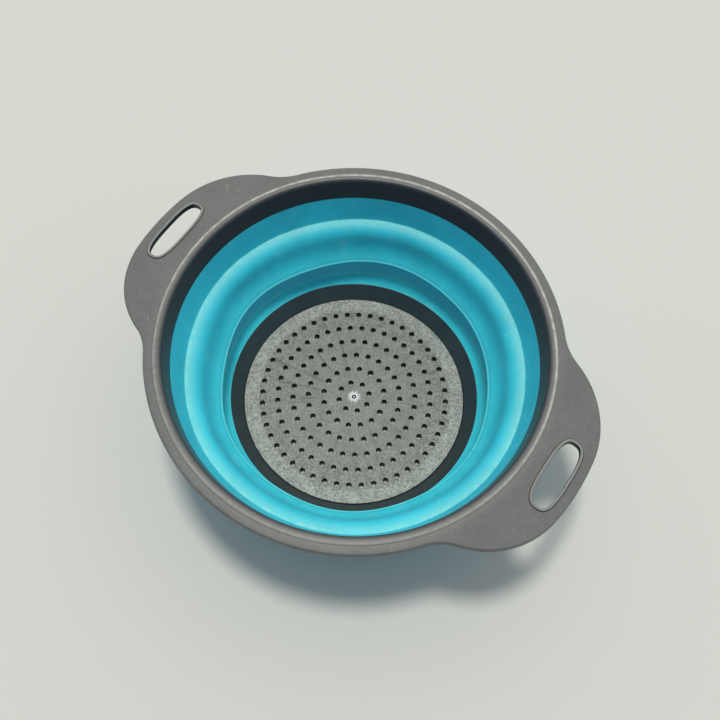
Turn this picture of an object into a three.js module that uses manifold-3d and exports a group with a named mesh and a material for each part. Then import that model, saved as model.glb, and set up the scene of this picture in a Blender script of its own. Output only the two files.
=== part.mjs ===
// Collapsible strainer bowl: a stiff rim with two ear handles, a soft wall that folds, and a strainer base.
// Millimetres, +Z up, the handles along X, and the origin on the surface the bowl stands on, below its axis.
// The bowl stands open. Pushing the rim down turns the soft wall's middle stretch inside out.
import * as THREE from 'three';
import { mergeVertices } from 'three/addons/utils/BufferGeometryUtils.js';
import Module from 'manifold-3d';

const wasm = await Module();
wasm.setup();

// Inside of the bowl, from the strainer plate up and out
const plateRadius = 71;
const baseWallRun = 7.9;
const baseWallRise = 7.2;
const lowerBandRun = 4.6;
const lowerBandRise = 22.5;
const foldRun = 18.8;
const foldRise = 22;
const upperBandRun = 4.9;
const upperBandRise = 16.8;
const rimWallRun = 2.2;
const rimWallRise = 11;
const crestRadius = 4.9;

// Strainer plate and its rings of holes
const plateThickness = 2.2;
const holesPerRing = 8;
const holePitch = 9.9;
const holeDiameter = 3.2;
const wideHoleDiameter = 3.6;
const wideHoleRing = 2;
const wideHoles = 4;
const holeTurn = THREE.MathUtils.degToRad(1.9);

// Base ring, with its seat for the plate and its foot
const footHeight = 2;
const footWidth = 3.4;
const footSetback = 0.8;
const drainNotches = 4;
const drainNotchWidth = 16;
const drainNotchHeight = 1.2;
const seatWidth = 5.2;
const seatThickness = 1.4;
const plateStep = 0.6;
const baseWallThickness = 3;
const baseFlangeThickness = 2.4;

// Soft wall
const bandThickness = 2.6;
const foldThickness = 1.7;
const hingeThickness = 1;
const foldTopSlope = THREE.MathUtils.degToRad(5);
const foldEndSlope = THREE.MathUtils.degToRad(45);
const foldLead = 14.8;
const lowerCrestWidth = 1;
const lowerCrestDepth = 3;
const lowerFilletRun = 5.4;
const lowerFilletRise = 10.7;

// Tongues on the stiff parts that the roots of the soft wall close around
const rootWidth = 5.2;
const rootHeight = 3.4;
const tongueInset = 3;
const tongueThickness = 1.2;
const tongueHeight = 1.5;

// Rim flange and ear handles
const beadHeight = 0.2;
const beadWidth = 1.4;
const flangeWidth = 6.1;
const flangeThickness = 2.4;
const flangeLevelWidth = 3.5;
const flangeDroop = 0.21;
const rimWallThickness = 2.2;
const skirtWidth = 1.8;
const skirtDepth = 4.6;
const earLength = 26.3;
const earTipHalfAngle = THREE.MathUtils.degToRad(7.65);
const earCornerRadius = 54;
const earRootRadius = 30.5;
const slotLength = 42;
const slotWidth = 13.4;
const slotRoundness = 2 / 3;
const slotFromTip = 14.4;
const slotCollarWidth = 1.6;
const slotCollarHeight = 0.8;
const slotCollarDepth = 2.8;

// Clearances: beside a piece that fits in another, and under a piece that rests on another
const fitGap = 0.3;
const seatGap = 0.1;

// Facets
const turnSegments = 48;
const holeSides = 7;
const slotSides = 24;
const arcSteps = 4;
const foldSteps = 6;

// Points of the inside profile, as radius and height
const seatTop = footHeight + seatThickness;
const plateBottom = seatTop + seatGap;
const plateTop = plateBottom + plateThickness;
const baseTop = new THREE.Vector2(plateRadius + baseWallRun, plateTop + baseWallRise);
const lowerCrease = new THREE.Vector2(baseTop.x + lowerBandRun, baseTop.y + lowerBandRise);
const upperCrease = new THREE.Vector2(lowerCrease.x + foldRun, lowerCrease.y + foldRise);
const rimFoot = new THREE.Vector2(upperCrease.x + upperBandRun, upperCrease.y + upperBandRise);
const rimShoulder = new THREE.Vector2(rimFoot.x + rimWallRun, rimFoot.y + rimWallRise);
const rimWallLean = Math.atan2(rimWallRun, rimWallRise);
const crest = new THREE.Vector2(
  rimShoulder.x + crestRadius * Math.cos(rimWallLean),
  rimShoulder.y + crestRadius * (1 - Math.sin(rimWallLean)),
);

// As many rings of holes as fit inside the seat
const holeRings = Math.floor((plateRadius - seatWidth - holeDiameter) / holePitch);

// Rim and handle places that follow from the profile
const flangeTop = crest.y - beadHeight;
const flangeBottom = flangeTop - flangeThickness;
const droopStart = crest.x + flangeLevelWidth;
const rimRadius = crest.x + flangeWidth;
const earReach = rimRadius + earLength;
const slotRadius = earReach - slotFromTip;

// Geometry helpers

function circlePoints(radius, sides, x = 0, y = 0) {
  return Array.from({ length: sides }, (_, i) => {
    const angle = (2 * Math.PI * i) / sides;
    return new THREE.Vector2(x + radius * Math.cos(angle), y + radius * Math.sin(angle));
  });
}

function positionsOnly(geometry) {
  geometry.deleteAttribute('normal');
  geometry.deleteAttribute('uv');
  return mergeVertices(geometry, 1e-4);
}

// Turns a closed profile of radius and height, listed anticlockwise, about the Z axis
function revolve(profile) {
  const geometry = new THREE.LatheGeometry([...profile, profile[0].clone()], turnSegments);
  geometry.rotateX(Math.PI / 2);
  return positionsOnly(geometry);
}

function extrude(shape, bottom, top) {
  const options = { depth: top - bottom, bevelEnabled: false, curveSegments: arcSteps };
  const geometry = new THREE.ExtrudeGeometry(shape, options);
  geometry.translate(0, 0, bottom);
  return positionsOnly(geometry);
}

function toSolid(geometry) {
  const vertProperties = new Float32Array(geometry.attributes.position.array);
  const triVerts = new Uint32Array(geometry.index.array);
  return new wasm.Manifold(new wasm.Mesh({ numProp: 3, vertProperties, triVerts }));
}

function toGeometry(solid) {
  const mesh = solid.getMesh();
  const geometry = new THREE.BufferGeometry();
  geometry.setAttribute('position', new THREE.BufferAttribute(mesh.vertProperties, 3));
  geometry.setIndex(new THREE.BufferAttribute(mesh.triVerts, 1));
  return geometry;
}

const point = (radius, height) => new THREE.Vector2(radius, height);

// Tongue that stands on a stiff part's edge. The groove is the same outline, wider and deeper by the gap.
// Points run outward. The side is +1 where the tongue stands up and -1 where it hangs down.
function tongueOutline(edge, side, gap) {
  const inner = edge.x + tongueInset - gap;
  const outer = edge.x + tongueInset + tongueThickness + gap;
  const foot = edge.y + side * gap;
  const tip = edge.y + side * (tongueHeight + gap);
  return [point(inner, foot), point(inner, tip), point(outer, tip), point(outer, foot)];
}

// Strainer plate

function strainerPlate() {
  const disc = new THREE.Shape(circlePoints(plateRadius, turnSegments));
  for (let ring = 1; ring <= holeRings; ring += 1) {
    const count = ring * holesPerRing;
    for (let i = 0; i < count; i += 1) {
      const angle = (2 * Math.PI * i) / count + holeTurn;
      const wide = ring === wideHoleRing && (i * wideHoles) % count === 0;
      const radius = (wide ? wideHoleDiameter : holeDiameter) / 2;
      const x = ring * holePitch * Math.cos(angle);
      const y = ring * holePitch * Math.sin(angle);
      disc.holes.push(new THREE.Path(circlePoints(radius, holeSides, x, y)));
    }
  }
  return extrude(disc, plateBottom, plateTop);
}

// Base ring: the foot, the seat under the plate, the sloped wall and the flange that carries the soft wall

function baseRing() {
  const footOuter = plateRadius - footSetback;
  const seatInner = plateRadius - seatWidth;
  const wallInner = plateRadius + fitGap;
  const flangeBottomHeight = baseTop.y - baseFlangeThickness;
  const slopeRun = (baseFlangeThickness * baseWallRun) / baseWallRise;
  const ring = toSolid(revolve([
    point(seatInner, footHeight),
    point(footOuter - footWidth, footHeight),
    point(footOuter - footWidth, 0),
    point(footOuter, 0),
    point(footOuter, footHeight),
    point(baseTop.x - slopeRun + baseWallThickness, flangeBottomHeight),
    point(baseTop.x + rootWidth, flangeBottomHeight),
    point(baseTop.x + rootWidth, baseTop.y),
    ...tongueOutline(baseTop, 1, 0).reverse(),
    baseTop,
    point(wallInner, plateTop - plateStep),
    point(wallInner, seatTop),
    point(seatInner, seatTop),
  ]));
  const notchLength = 3 * footWidth;
  let notched = ring;
  for (let i = 0; i < drainNotches; i += 1) {
    const notch = new THREE.BoxGeometry(notchLength, drainNotchWidth, 2 * drainNotchHeight);
    notch.translate(footOuter - footWidth / 2, 0, 0);
    notch.rotateZ((2 * Math.PI * (i + 0.5)) / drainNotches);
    notched = notched.subtract(toSolid(positionsOnly(notch)));
  }
  return toGeometry(notched);
}

// Soft wall

function lowerBand() {
  const root = baseTop.y + seatGap;
  const filletTop = point(baseTop.x + lowerFilletRun, baseTop.y + lowerFilletRise);
  const fillet = new THREE.QuadraticBezierCurve(
    filletTop,
    point(filletTop.x, root + lowerFilletRise / 3),
    point(baseTop.x, root),
  );
  return revolve([
    ...tongueOutline(baseTop, 1, seatGap),
    point(baseTop.x + rootWidth, root),
    point(baseTop.x + rootWidth, root + rootHeight),
    point(filletTop.x + bandThickness, filletTop.y),
    point(lowerCrease.x + bandThickness, lowerCrease.y - lowerCrestDepth),
    point(lowerCrease.x + lowerCrestWidth, lowerCrease.y),
    lowerCrease,
    ...fillet.getPoints(arcSteps),
  ]);
}

// The fold runs level out of the upper crease, falls steeply and flattens towards the lower crest
function fold() {
  const top = point(upperCrease.x - fitGap, upperCrease.y);
  const end = point(lowerCrease.x + lowerCrestWidth + fitGap, lowerCrease.y);
  const curve = new THREE.CubicBezierCurve(
    top,
    point(top.x - foldLead * Math.cos(foldTopSlope), top.y - foldLead * Math.sin(foldTopSlope)),
    point(end.x + foldLead * Math.cos(foldEndSlope), end.y + foldLead * Math.sin(foldEndSlope)),
    end,
  );
  const inside = [];
  const outside = [];
  for (let i = 0; i <= foldSteps; i += 1) {
    const place = curve.getPoint(i / foldSteps);
    const along = curve.getTangent(i / foldSteps);
    const thickness = i === 0 || i === foldSteps ? hingeThickness : foldThickness;
    inside.push(place);
    outside.unshift(point(place.x - thickness * along.y, place.y + thickness * along.x));
  }
  return revolve([...inside, ...outside]);
}

function upperBand() {
  const root = rimFoot.y - seatGap;
  const taperHeight = root - 2 * rootHeight;
  const taperShare = (taperHeight - upperCrease.y) / (rimFoot.y - upperCrease.y);
  return revolve([
    point(upperCrease.x, upperCrease.y - hingeThickness),
    point(upperCrease.x + bandThickness, upperCrease.y - hingeThickness),
    point(upperCrease.x + taperShare * upperBandRun + bandThickness, taperHeight),
    point(rimFoot.x + rootWidth, root - rootHeight),
    point(rimFoot.x + rootWidth, root),
    ...tongueOutline(rimFoot, -1, seatGap).reverse(),
    point(rimFoot.x, root),
    upperCrease,
  ]);
}

// Rim

// Outline of the flange and both ears, drawn in by the inset. Each ear is a tip arc about the bowl's axis,
// two corner arcs, and two hollow root arcs that run into the rim.
function rimOutline(inset) {
  const cornerDistance = earReach - earCornerRadius;
  const rootDistance = rimRadius + earRootRadius;
  const reach = earCornerRadius + earRootRadius;
  const spread = Math.acos(
    (rootDistance ** 2 + cornerDistance ** 2 - reach ** 2) / (2 * rootDistance * cornerDistance),
  );
  const rootAngle = earTipHalfAngle + spread;
  const outline = new THREE.Shape();
  for (const ear of [0, Math.PI]) {
    const corner = (side) => {
      const angle = ear + side * earTipHalfAngle;
      return point(cornerDistance * Math.cos(angle), cornerDistance * Math.sin(angle));
    };
    const root = (side) => {
      const angle = ear + side * rootAngle;
      return point(rootDistance * Math.cos(angle), rootDistance * Math.sin(angle));
    };
    const towardRoot = (side) => root(side).sub(corner(side)).angle();
    const arc = (centre, radius, from, to, clockwise = false) => {
      outline.absarc(centre.x, centre.y, radius, from, to, clockwise);
    };
    const rootRadius = earRootRadius + inset;
    const cornerRadius = earCornerRadius - inset;
    const axis = point(0, 0);
    arc(root(-1), rootRadius, ear - rootAngle + Math.PI, towardRoot(-1) + Math.PI, true);
    arc(corner(-1), cornerRadius, towardRoot(-1), ear - earTipHalfAngle);
    arc(axis, earReach - inset, ear - earTipHalfAngle, ear + earTipHalfAngle);
    arc(corner(1), cornerRadius, ear + earTipHalfAngle, towardRoot(1));
    arc(root(1), rootRadius, towardRoot(1) + Math.PI, ear + rootAngle + Math.PI, true);
    arc(axis, rimRadius - inset, ear + rootAngle, ear + Math.PI / 2);
    arc(axis, rimRadius - inset, ear + Math.PI / 2, ear + Math.PI - rootAngle);
  }
  return outline;
}

// Rounded slot through an ear, grown by a margin. Ear is +1 or -1, the end of the X axis it stands on.
function slotPoints(ear, margin) {
  const halfWidth = slotWidth / 2 + margin;
  const halfLength = slotLength / 2 + margin;
  const eased = (value) => Math.sign(value) * Math.abs(value) ** slotRoundness;
  return Array.from({ length: slotSides }, (_, i) => {
    const angle = (2 * Math.PI * i) / slotSides;
    return point(ear * slotRadius + halfWidth * eased(Math.cos(angle)), halfLength * eased(Math.sin(angle)));
  });
}

function rimRing() {
  const wallFootTop = rimFoot.y + rootHeight;
  const footShare = rootHeight / rimWallRise;
  const crestArc = [];
  for (let i = 0; i <= arcSteps; i += 1) {
    const angle = Math.PI / 2 + (Math.PI / 2 - rimWallLean) * (i / arcSteps);
    crestArc.push(point(
      crest.x + crestRadius * Math.cos(angle),
      crest.y - crestRadius + crestRadius * Math.sin(angle),
    ));
  }
  return revolve([
    rimFoot,
    ...tongueOutline(rimFoot, -1, 0),
    point(rimFoot.x + rootWidth, rimFoot.y),
    point(rimFoot.x + rootWidth, wallFootTop - rimWallThickness / 2),
    point(rimFoot.x + footShare * rimWallRun + rimWallThickness, wallFootTop),
    point(rimShoulder.x + rimWallThickness, flangeBottom - rimWallThickness),
    point(crest.x, flangeBottom),
    point(droopStart, flangeBottom),
    point(droopStart, flangeTop),
    point(crest.x + beadWidth, flangeTop),
    ...crestArc,
  ]);
}

// Slab over the whole rim that is level as far as the droop's start and slopes down outside it.
// Raised and depth are measured up and down from the flange's top. A flat shape cuts the slab to its plan.
function droopingSlab(shape, raised, depth) {
  const outer = earReach + flangeLevelWidth;
  const fall = flangeDroop * (outer - droopStart);
  const top = flangeTop + raised;
  const bottom = flangeTop - depth;
  const slab = toSolid(revolve([
    point(crest.x, bottom),
    point(droopStart, bottom),
    point(outer, bottom - fall),
    point(outer, top - fall),
    point(droopStart, top),
    point(crest.x, top),
  ]));
  return slab.intersect(toSolid(extrude(shape, bottom - fall, top)));
}

function rim() {
  const flange = rimOutline(0);
  flange.holes.push(new THREE.Path(circlePoints(crest.x + beadWidth, turnSegments)));
  const skirt = rimOutline(0);
  skirt.holes.push(new THREE.Path(rimOutline(skirtWidth).getPoints(arcSteps)));
  let whole = toSolid(rimRing()).add(droopingSlab(skirt, 0, skirtDepth));
  for (const ear of [1, -1]) {
    flange.holes.push(new THREE.Path(slotPoints(ear, slotCollarWidth / 2)));
    const collar = new THREE.Shape(slotPoints(ear, slotCollarWidth));
    collar.holes.push(new THREE.Path(slotPoints(ear, 0)));
    whole = whole.add(droopingSlab(collar, slotCollarHeight, slotCollarDepth));
  }
  return toGeometry(whole.add(droopingSlab(flange, 0, flangeThickness)));
}

// Assembly

const darkGrey = { color: 0x676a67, roughness: 0.5, metalness: 0 };
const charcoal = { color: 0x363d3f, roughness: 0.4, metalness: 0 };
const paleGrey = { color: 0x8d918d, roughness: 0.65, metalness: 0 };
const turquoise = { color: 0x35b2c8, roughness: 0.45, metalness: 0 };

function piece(name, geometry, finish) {
  geometry.computeVertexNormals();
  const mesh = new THREE.Mesh(geometry, new THREE.MeshStandardMaterial(finish));
  mesh.name = name;
  return mesh;
}

// What stays on the table, and what comes down with the rim
const standing = new THREE.Group();
standing.add(
  piece('base_ring', baseRing(), charcoal),
  piece('strainer_plate', strainerPlate(), paleGrey),
  piece('wall_lower_band', lowerBand(), turquoise),
  piece('wall_fold', fold(), turquoise),
);
const lowering = new THREE.Group();
lowering.add(
  piece('wall_upper_band', upperBand(), turquoise),
  piece('rim', rim(), darkGrey),
);

const bowl = new THREE.Group();
bowl.add(standing, lowering);

export default bowl;
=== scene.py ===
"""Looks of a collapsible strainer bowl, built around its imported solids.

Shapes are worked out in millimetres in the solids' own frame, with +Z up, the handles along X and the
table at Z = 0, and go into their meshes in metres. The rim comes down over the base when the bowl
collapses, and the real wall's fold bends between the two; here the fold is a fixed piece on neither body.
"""

import logging
import math
from collections.abc import Callable, Sequence
from dataclasses import dataclass
from enum import Enum

import bpy
import numpy as np
from mathutils import Matrix, Vector
from mathutils.geometry import delaunay_2d_cdt


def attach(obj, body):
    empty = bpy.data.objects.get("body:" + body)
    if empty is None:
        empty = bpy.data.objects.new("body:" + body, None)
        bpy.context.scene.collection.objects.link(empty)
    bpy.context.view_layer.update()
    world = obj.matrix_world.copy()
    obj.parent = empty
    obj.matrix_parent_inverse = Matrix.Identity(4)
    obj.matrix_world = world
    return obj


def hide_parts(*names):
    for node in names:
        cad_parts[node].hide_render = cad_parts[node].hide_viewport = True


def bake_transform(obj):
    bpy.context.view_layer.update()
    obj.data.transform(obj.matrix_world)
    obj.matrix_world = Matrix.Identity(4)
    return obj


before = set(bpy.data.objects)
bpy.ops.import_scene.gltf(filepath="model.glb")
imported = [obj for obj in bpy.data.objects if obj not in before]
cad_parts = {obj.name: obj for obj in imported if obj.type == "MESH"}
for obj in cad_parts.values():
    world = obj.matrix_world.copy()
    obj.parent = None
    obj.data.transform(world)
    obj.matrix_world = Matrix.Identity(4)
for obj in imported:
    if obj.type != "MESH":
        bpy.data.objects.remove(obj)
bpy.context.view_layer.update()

LOG = logging.getLogger("strainer_bowl")
MM = 0.001
PLAIN_RADIUS = "plain_radius"
# Per-point value on the rim: above 0 painted pale, as rubbing and painted highlight; below 0 painted shade.
SLOT_EDGE = "slot_edge"
EARS = (1, -1)

Socket = bpy.types.NodeSocket
Colour = tuple[float, float, float, float]
Value = Socket | float


class Body(str, Enum):
    """The two bodies that the collapse moves apart."""

    BASE = "base"
    RIM = "rim_body"


class FinishSlot(str, Enum):
    """The record's material slots."""

    RIM = "rim_plastic"
    WALL = "soft_wall"
    BASE = "base_plastic"
    PLATE = "plate_plastic"


def srgb(red: int, green: int, blue: int) -> Colour:
    """Gives a linear colour for one written as screen values.

    Args:
        red: Red, 0 to 255.
        green: Green, 0 to 255.
        blue: Blue, 0 to 255.

    Returns:
        Linear red, green, blue and an alpha of 1.
    """
    screen = np.array([red, green, blue]) / 255.0
    linear = np.where(screen <= 0.04045, screen / 12.92, ((screen + 0.055) / 1.055) ** 2.4)
    return (*(float(part) for part in linear), 1.0)


@dataclass(frozen=True)
class BowlSizes:
    """Sizes that the pieces share, in millimetres, from the strainer plate up and out."""

    plate_radius: float = 71.0
    plate_bottom: float = 3.5
    plate_top: float = 5.7
    base_wall_run: float = 7.9
    base_wall_rise: float = 7.2
    lower_band_run: float = 4.6
    lower_band_rise: float = 22.5
    fold_run: float = 18.8
    fold_rise: float = 22.0
    upper_band_run: float = 4.9
    upper_band_rise: float = 16.8
    rim_wall_run: float = 2.2
    rim_wall_rise: float = 11.0
    crest_radius: float = 4.9
    band_thickness: float = 2.6
    hinge_thickness: float = 1.0
    root_width: float = 5.2
    root_height: float = 3.4
    joint_gap: float = 0.1

    @property
    def base_top(self) -> np.ndarray:
        """Inner edge of the base ring, where the soft wall starts, as radius and height."""
        return np.array([self.plate_radius + self.base_wall_run, self.plate_top + self.base_wall_rise])

    @property
    def lower_crease(self) -> np.ndarray:
        """Crest of the lower band, as radius and height."""
        return self.base_top + (self.lower_band_run, self.lower_band_rise)

    @property
    def upper_crease(self) -> np.ndarray:
        """Corner between the fold and the upper band, as radius and height."""
        return self.lower_crease + (self.fold_run, self.fold_rise)

    @property
    def rim_foot(self) -> np.ndarray:
        """Lower inner edge of the rim, where the soft wall ends, as radius and height."""
        return self.upper_crease + (self.upper_band_run, self.upper_band_rise)

    @property
    def crest(self) -> np.ndarray:
        """Top of the rim, as radius and height: the wall's lean decides how far its round turns."""
        lean = math.atan2(self.rim_wall_run, self.rim_wall_rise)
        turn = np.array([math.cos(lean), 1.0 - math.sin(lean)])
        return self.rim_foot + (self.rim_wall_run, self.rim_wall_rise) + self.crest_radius * turn


# Profiles and grids


def rounded(corners: Sequence[tuple[float, float, float]], closed: bool, steps: int = 6,
            spacing: float = 2.0, guard: float = 0.12) -> np.ndarray:
    """Rounds the corners of a profile and spaces points along its straights.

    Each corner becomes an arc tangent to both its sides, its centre on the bisector at radius over the sine
    of half the angle. The straights get points a guard's width from each arc, so that shading stays flat on
    them.

    Args:
        corners: Radius, height and rounding radius of each corner.
        closed: Whether the last corner joins the first one.
        steps: Segments in each arc.
        spacing: Largest distance between points on a straight.
        guard: Distance from each arc to the first point on a straight.

    Returns:
        Points, one row each.
    """
    longest_cut = 0.48
    nearly_straight = 1e-3
    table = np.array(corners, float)
    places, radii = table[:, :2], table[:, 2]
    count = len(places)
    stretches: list[np.ndarray] = []
    for i, here in enumerate(places):
        inner = closed or 0 < i < count - 1
        if not inner or radii[i] <= 0:
            stretches.append(here[None])
            continue
        back = places[i - 1] - here
        onward = places[(i + 1) % count] - here
        back_length, onward_length = np.linalg.norm(back), np.linalg.norm(onward)
        back, onward = back / back_length, onward / onward_length
        half = 0.5 * math.acos(float(np.clip(back @ onward, -1.0, 1.0)))
        if half > 0.5 * math.pi - nearly_straight:
            stretches.append(here[None])
            continue
        cut = min(radii[i] / math.tan(half), longest_cut * back_length, longest_cut * onward_length)
        radius = cut * math.tan(half)
        bisector = (back + onward) / np.linalg.norm(back + onward)
        centre = here + bisector * radius / math.sin(half)
        first = here + back * cut - centre
        last = here + onward * cut - centre
        start = math.atan2(first[1], first[0])
        sweep = (math.atan2(last[1], last[0]) - start + math.pi) % (2.0 * math.pi) - math.pi
        angles = start + sweep * np.linspace(0.0, 1.0, steps + 1)
        stretches.append(centre + radius * np.stack([np.cos(angles), np.sin(angles)], axis=1))
    pieces: list[np.ndarray] = []
    for i, stretch in enumerate(stretches):
        pieces.append(stretch)
        if i == count - 1 and not closed:
            continue
        start, end = stretch[-1], stretches[(i + 1) % count][0]
        length = float(np.linalg.norm(end - start))
        if length < 4.0 * guard:
            continue
        inside = np.linspace(guard, length - guard, max(2, math.ceil(length / spacing)))
        pieces.append(start + (end - start) * (inside / length)[:, None])
    return np.concatenate(pieces)


def turned(profile: np.ndarray, segments: int) -> np.ndarray:
    """Turns a profile about the Z axis.

    Args:
        profile: Radius and height of each point.
        segments: Steps round the turn.

    Returns:
        Points as profile rows by steps by X, Y and Z.
    """
    angle = np.linspace(0.0, 2.0 * np.pi, segments, endpoint=False)
    radius, height = profile[:, :1], profile[:, 1:]
    return np.stack(np.broadcast_arrays(radius * np.cos(angle), radius * np.sin(angle), height), axis=2)


def swept(path: np.ndarray, outward: np.ndarray, profile: np.ndarray) -> np.ndarray:
    """Carries a profile of outward offset and height along a closed path in plan.

    Args:
        path: X and Y of each point of the path.
        outward: Unit normals of the path, away from what it encloses.
        profile: Offset along the normal, and height, of each profile point.

    Returns:
        Points as profile rows by path points by X, Y and Z.
    """
    plan = path[None] + profile[:, :1, None] * outward[None]
    height = np.broadcast_to(profile[:, 1:, None], (*plan.shape[:2], 1))
    return np.concatenate([plan, height], axis=2)


def encloses(loop: np.ndarray, places: np.ndarray) -> np.ndarray:
    """Tells which places a loop encloses.

    A ray along +X from a place inside crosses the loop an odd number of times.

    Args:
        loop: X and Y of the loop's points.
        places: X and Y of the places.

    Returns:
        True for each place inside.
    """
    onward = np.roll(loop, -1, axis=0)
    x, y = places[:, :1], places[:, 1:]
    passes = (loop[:, 1] > y) != (onward[:, 1] > y)
    rise = np.where(onward[:, 1] == loop[:, 1], 1.0, onward[:, 1] - loop[:, 1])
    crossing = loop[:, 0] + (y - loop[:, 1]) * (onward[:, 0] - loop[:, 0]) / rise
    return (passes & (x < crossing)).sum(axis=1) % 2 == 1


def fill_triangles(plan: np.ndarray, loop_sizes: Sequence[int]) -> np.ndarray:
    """Fills the flat area between an outer loop and the rounded holes in it with triangles.

    A triangle goes if all its corners are on one hole, or on the outer loop with its middle outside that.

    Args:
        plan: X and Y of the loops' points, one loop after another, and then of any points between them.
        loop_sizes: Points in each loop, the outer loop first.

    Returns:
        Indices into plan, three to a row, anticlockwise.
    """
    whole_hull = 0
    same_place = 1e-6
    corners = [Vector(place) for place in plan]
    _, _, faces, sources, _, _ = delaunay_2d_cdt(corners, [], [], whole_hull, same_place)
    triangles = np.array([ids[0] for ids in sources])[np.array(faces)]
    between = -1
    owners = np.full(len(plan), between)
    owners[:sum(loop_sizes)] = np.repeat(np.arange(len(loop_sizes)), loop_sizes)
    owner = owners[triangles]
    on_one_loop = (owner == owner[:, :1]).all(axis=1) & (owner[:, 0] != between)
    on_outer = on_one_loop & (owner[:, 0] == 0)
    inside = encloses(plan[:loop_sizes[0]], plan[triangles].mean(axis=1))
    return triangles[~on_one_loop | (on_outer & inside)]


class SurfaceMesh:
    """A mesh gathered from grids of points and flat fills, in millimetres."""

    def __init__(self, attribute: str | None = None) -> None:
        """Starts with no points and no faces.

        Args:
            attribute: Name of a value that each point keeps for its finish, if there is one.
        """
        self.attribute = attribute
        self._points: list[np.ndarray] = []
        self._values: list[np.ndarray] = []
        self._corners: list[np.ndarray] = []
        self._sides: list[np.ndarray] = []
        self._count = 0

    def add_points(self, points: np.ndarray, values: np.ndarray | float = 0.0) -> np.ndarray:
        """Adds a grid of points.

        Args:
            points: Any array of X, Y and Z in its last axis.
            values: The points' values for their finish, in a shape that spreads over the grid.

        Returns:
            The points' indices, in the grid's own shape.
        """
        flat = points.reshape(-1, 3)
        ids = self._count + np.arange(len(flat)).reshape(points.shape[:-1])
        self._points.append(flat)
        self._values.append(np.broadcast_to(values, points.shape[:-1]).ravel())
        self._count += len(flat)
        return ids

    def add_faces(self, faces: np.ndarray) -> None:
        """Adds faces that all have the same number of corners, as rows of indices."""
        self._corners.append(faces.reshape(-1))
        self._sides.append(np.full(len(faces), faces.shape[1]))

    def add_strip(self, ids: np.ndarray, flip: bool = False, close: bool = False) -> None:
        """Joins rows of points with four-sided faces.

        Args:
            ids: Indices as rows by columns. The columns go round and close.
            flip: Whether to turn the faces over.
            close: Whether the last row joins the first one.
        """
        here = ids if close else ids[:-1]
        onward = np.roll(ids, -1, axis=0) if close else ids[1:]
        faces = np.stack([here, np.roll(here, -1, axis=-1), np.roll(onward, -1, axis=-1), onward], axis=-1)
        faces = faces.reshape(-1, 4)
        self.add_faces(faces[:, ::-1] if flip else faces)

    def add_fill(self, loops: Sequence[np.ndarray], facing_up: bool,
                 between: np.ndarray | None = None) -> None:
        """Fills the flat area between loops that are already in the mesh.

        Args:
            loops: Indices of each loop's points, the outer loop and the holes.
            facing_up: Whether the fill faces up or down.
            between: Indices of points inside the area, for a fill that is bent later.
        """
        ids = np.concatenate([*loops, [] if between is None else between]).astype(int)
        plan = np.concatenate(self._points)[ids, :2]
        faces = ids[fill_triangles(plan, [len(loop) for loop in loops])]
        self.add_faces(faces if facing_up else faces[:, ::-1])

    def bend(self, shift: Callable[[np.ndarray], np.ndarray]) -> None:
        """Lowers every point.

        Args:
            shift: Gives how far for points as rows of X, Y and Z.
        """
        points = np.concatenate(self._points)
        points[:, 2] -= shift(points)
        self._points = [points]

    def to_object(self, name: str) -> bpy.types.Object:
        """Makes a smooth-shaded object at the origin.

        Args:
            name: The piece's name.

        Returns:
            The new object, linked to the scene.
        """
        points = np.concatenate(self._points) * MM
        corners = np.concatenate(self._corners)
        sides = np.concatenate(self._sides)
        mesh = bpy.data.meshes.new(name)
        mesh.vertices.add(len(points))
        mesh.vertices.foreach_set("co", points.astype(np.float32).ravel())
        mesh.loops.add(len(corners))
        mesh.loops.foreach_set("vertex_index", corners.astype(np.int32))
        mesh.polygons.add(len(sides))
        mesh.polygons.foreach_set("loop_start", (np.cumsum(sides) - sides).astype(np.int32))
        mesh.polygons.foreach_set("use_smooth", np.ones(len(sides), bool))
        if self.attribute:
            kept = mesh.attributes.new(self.attribute, "FLOAT", "POINT")
            kept.data.foreach_set("value", np.concatenate(self._values).astype(np.float32))
        mesh.update(calc_edges=True)
        mesh.validate()
        piece = bpy.data.objects.new(name, mesh)
        bpy.context.scene.collection.objects.link(piece)
        return piece


# Shader graphs


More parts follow.
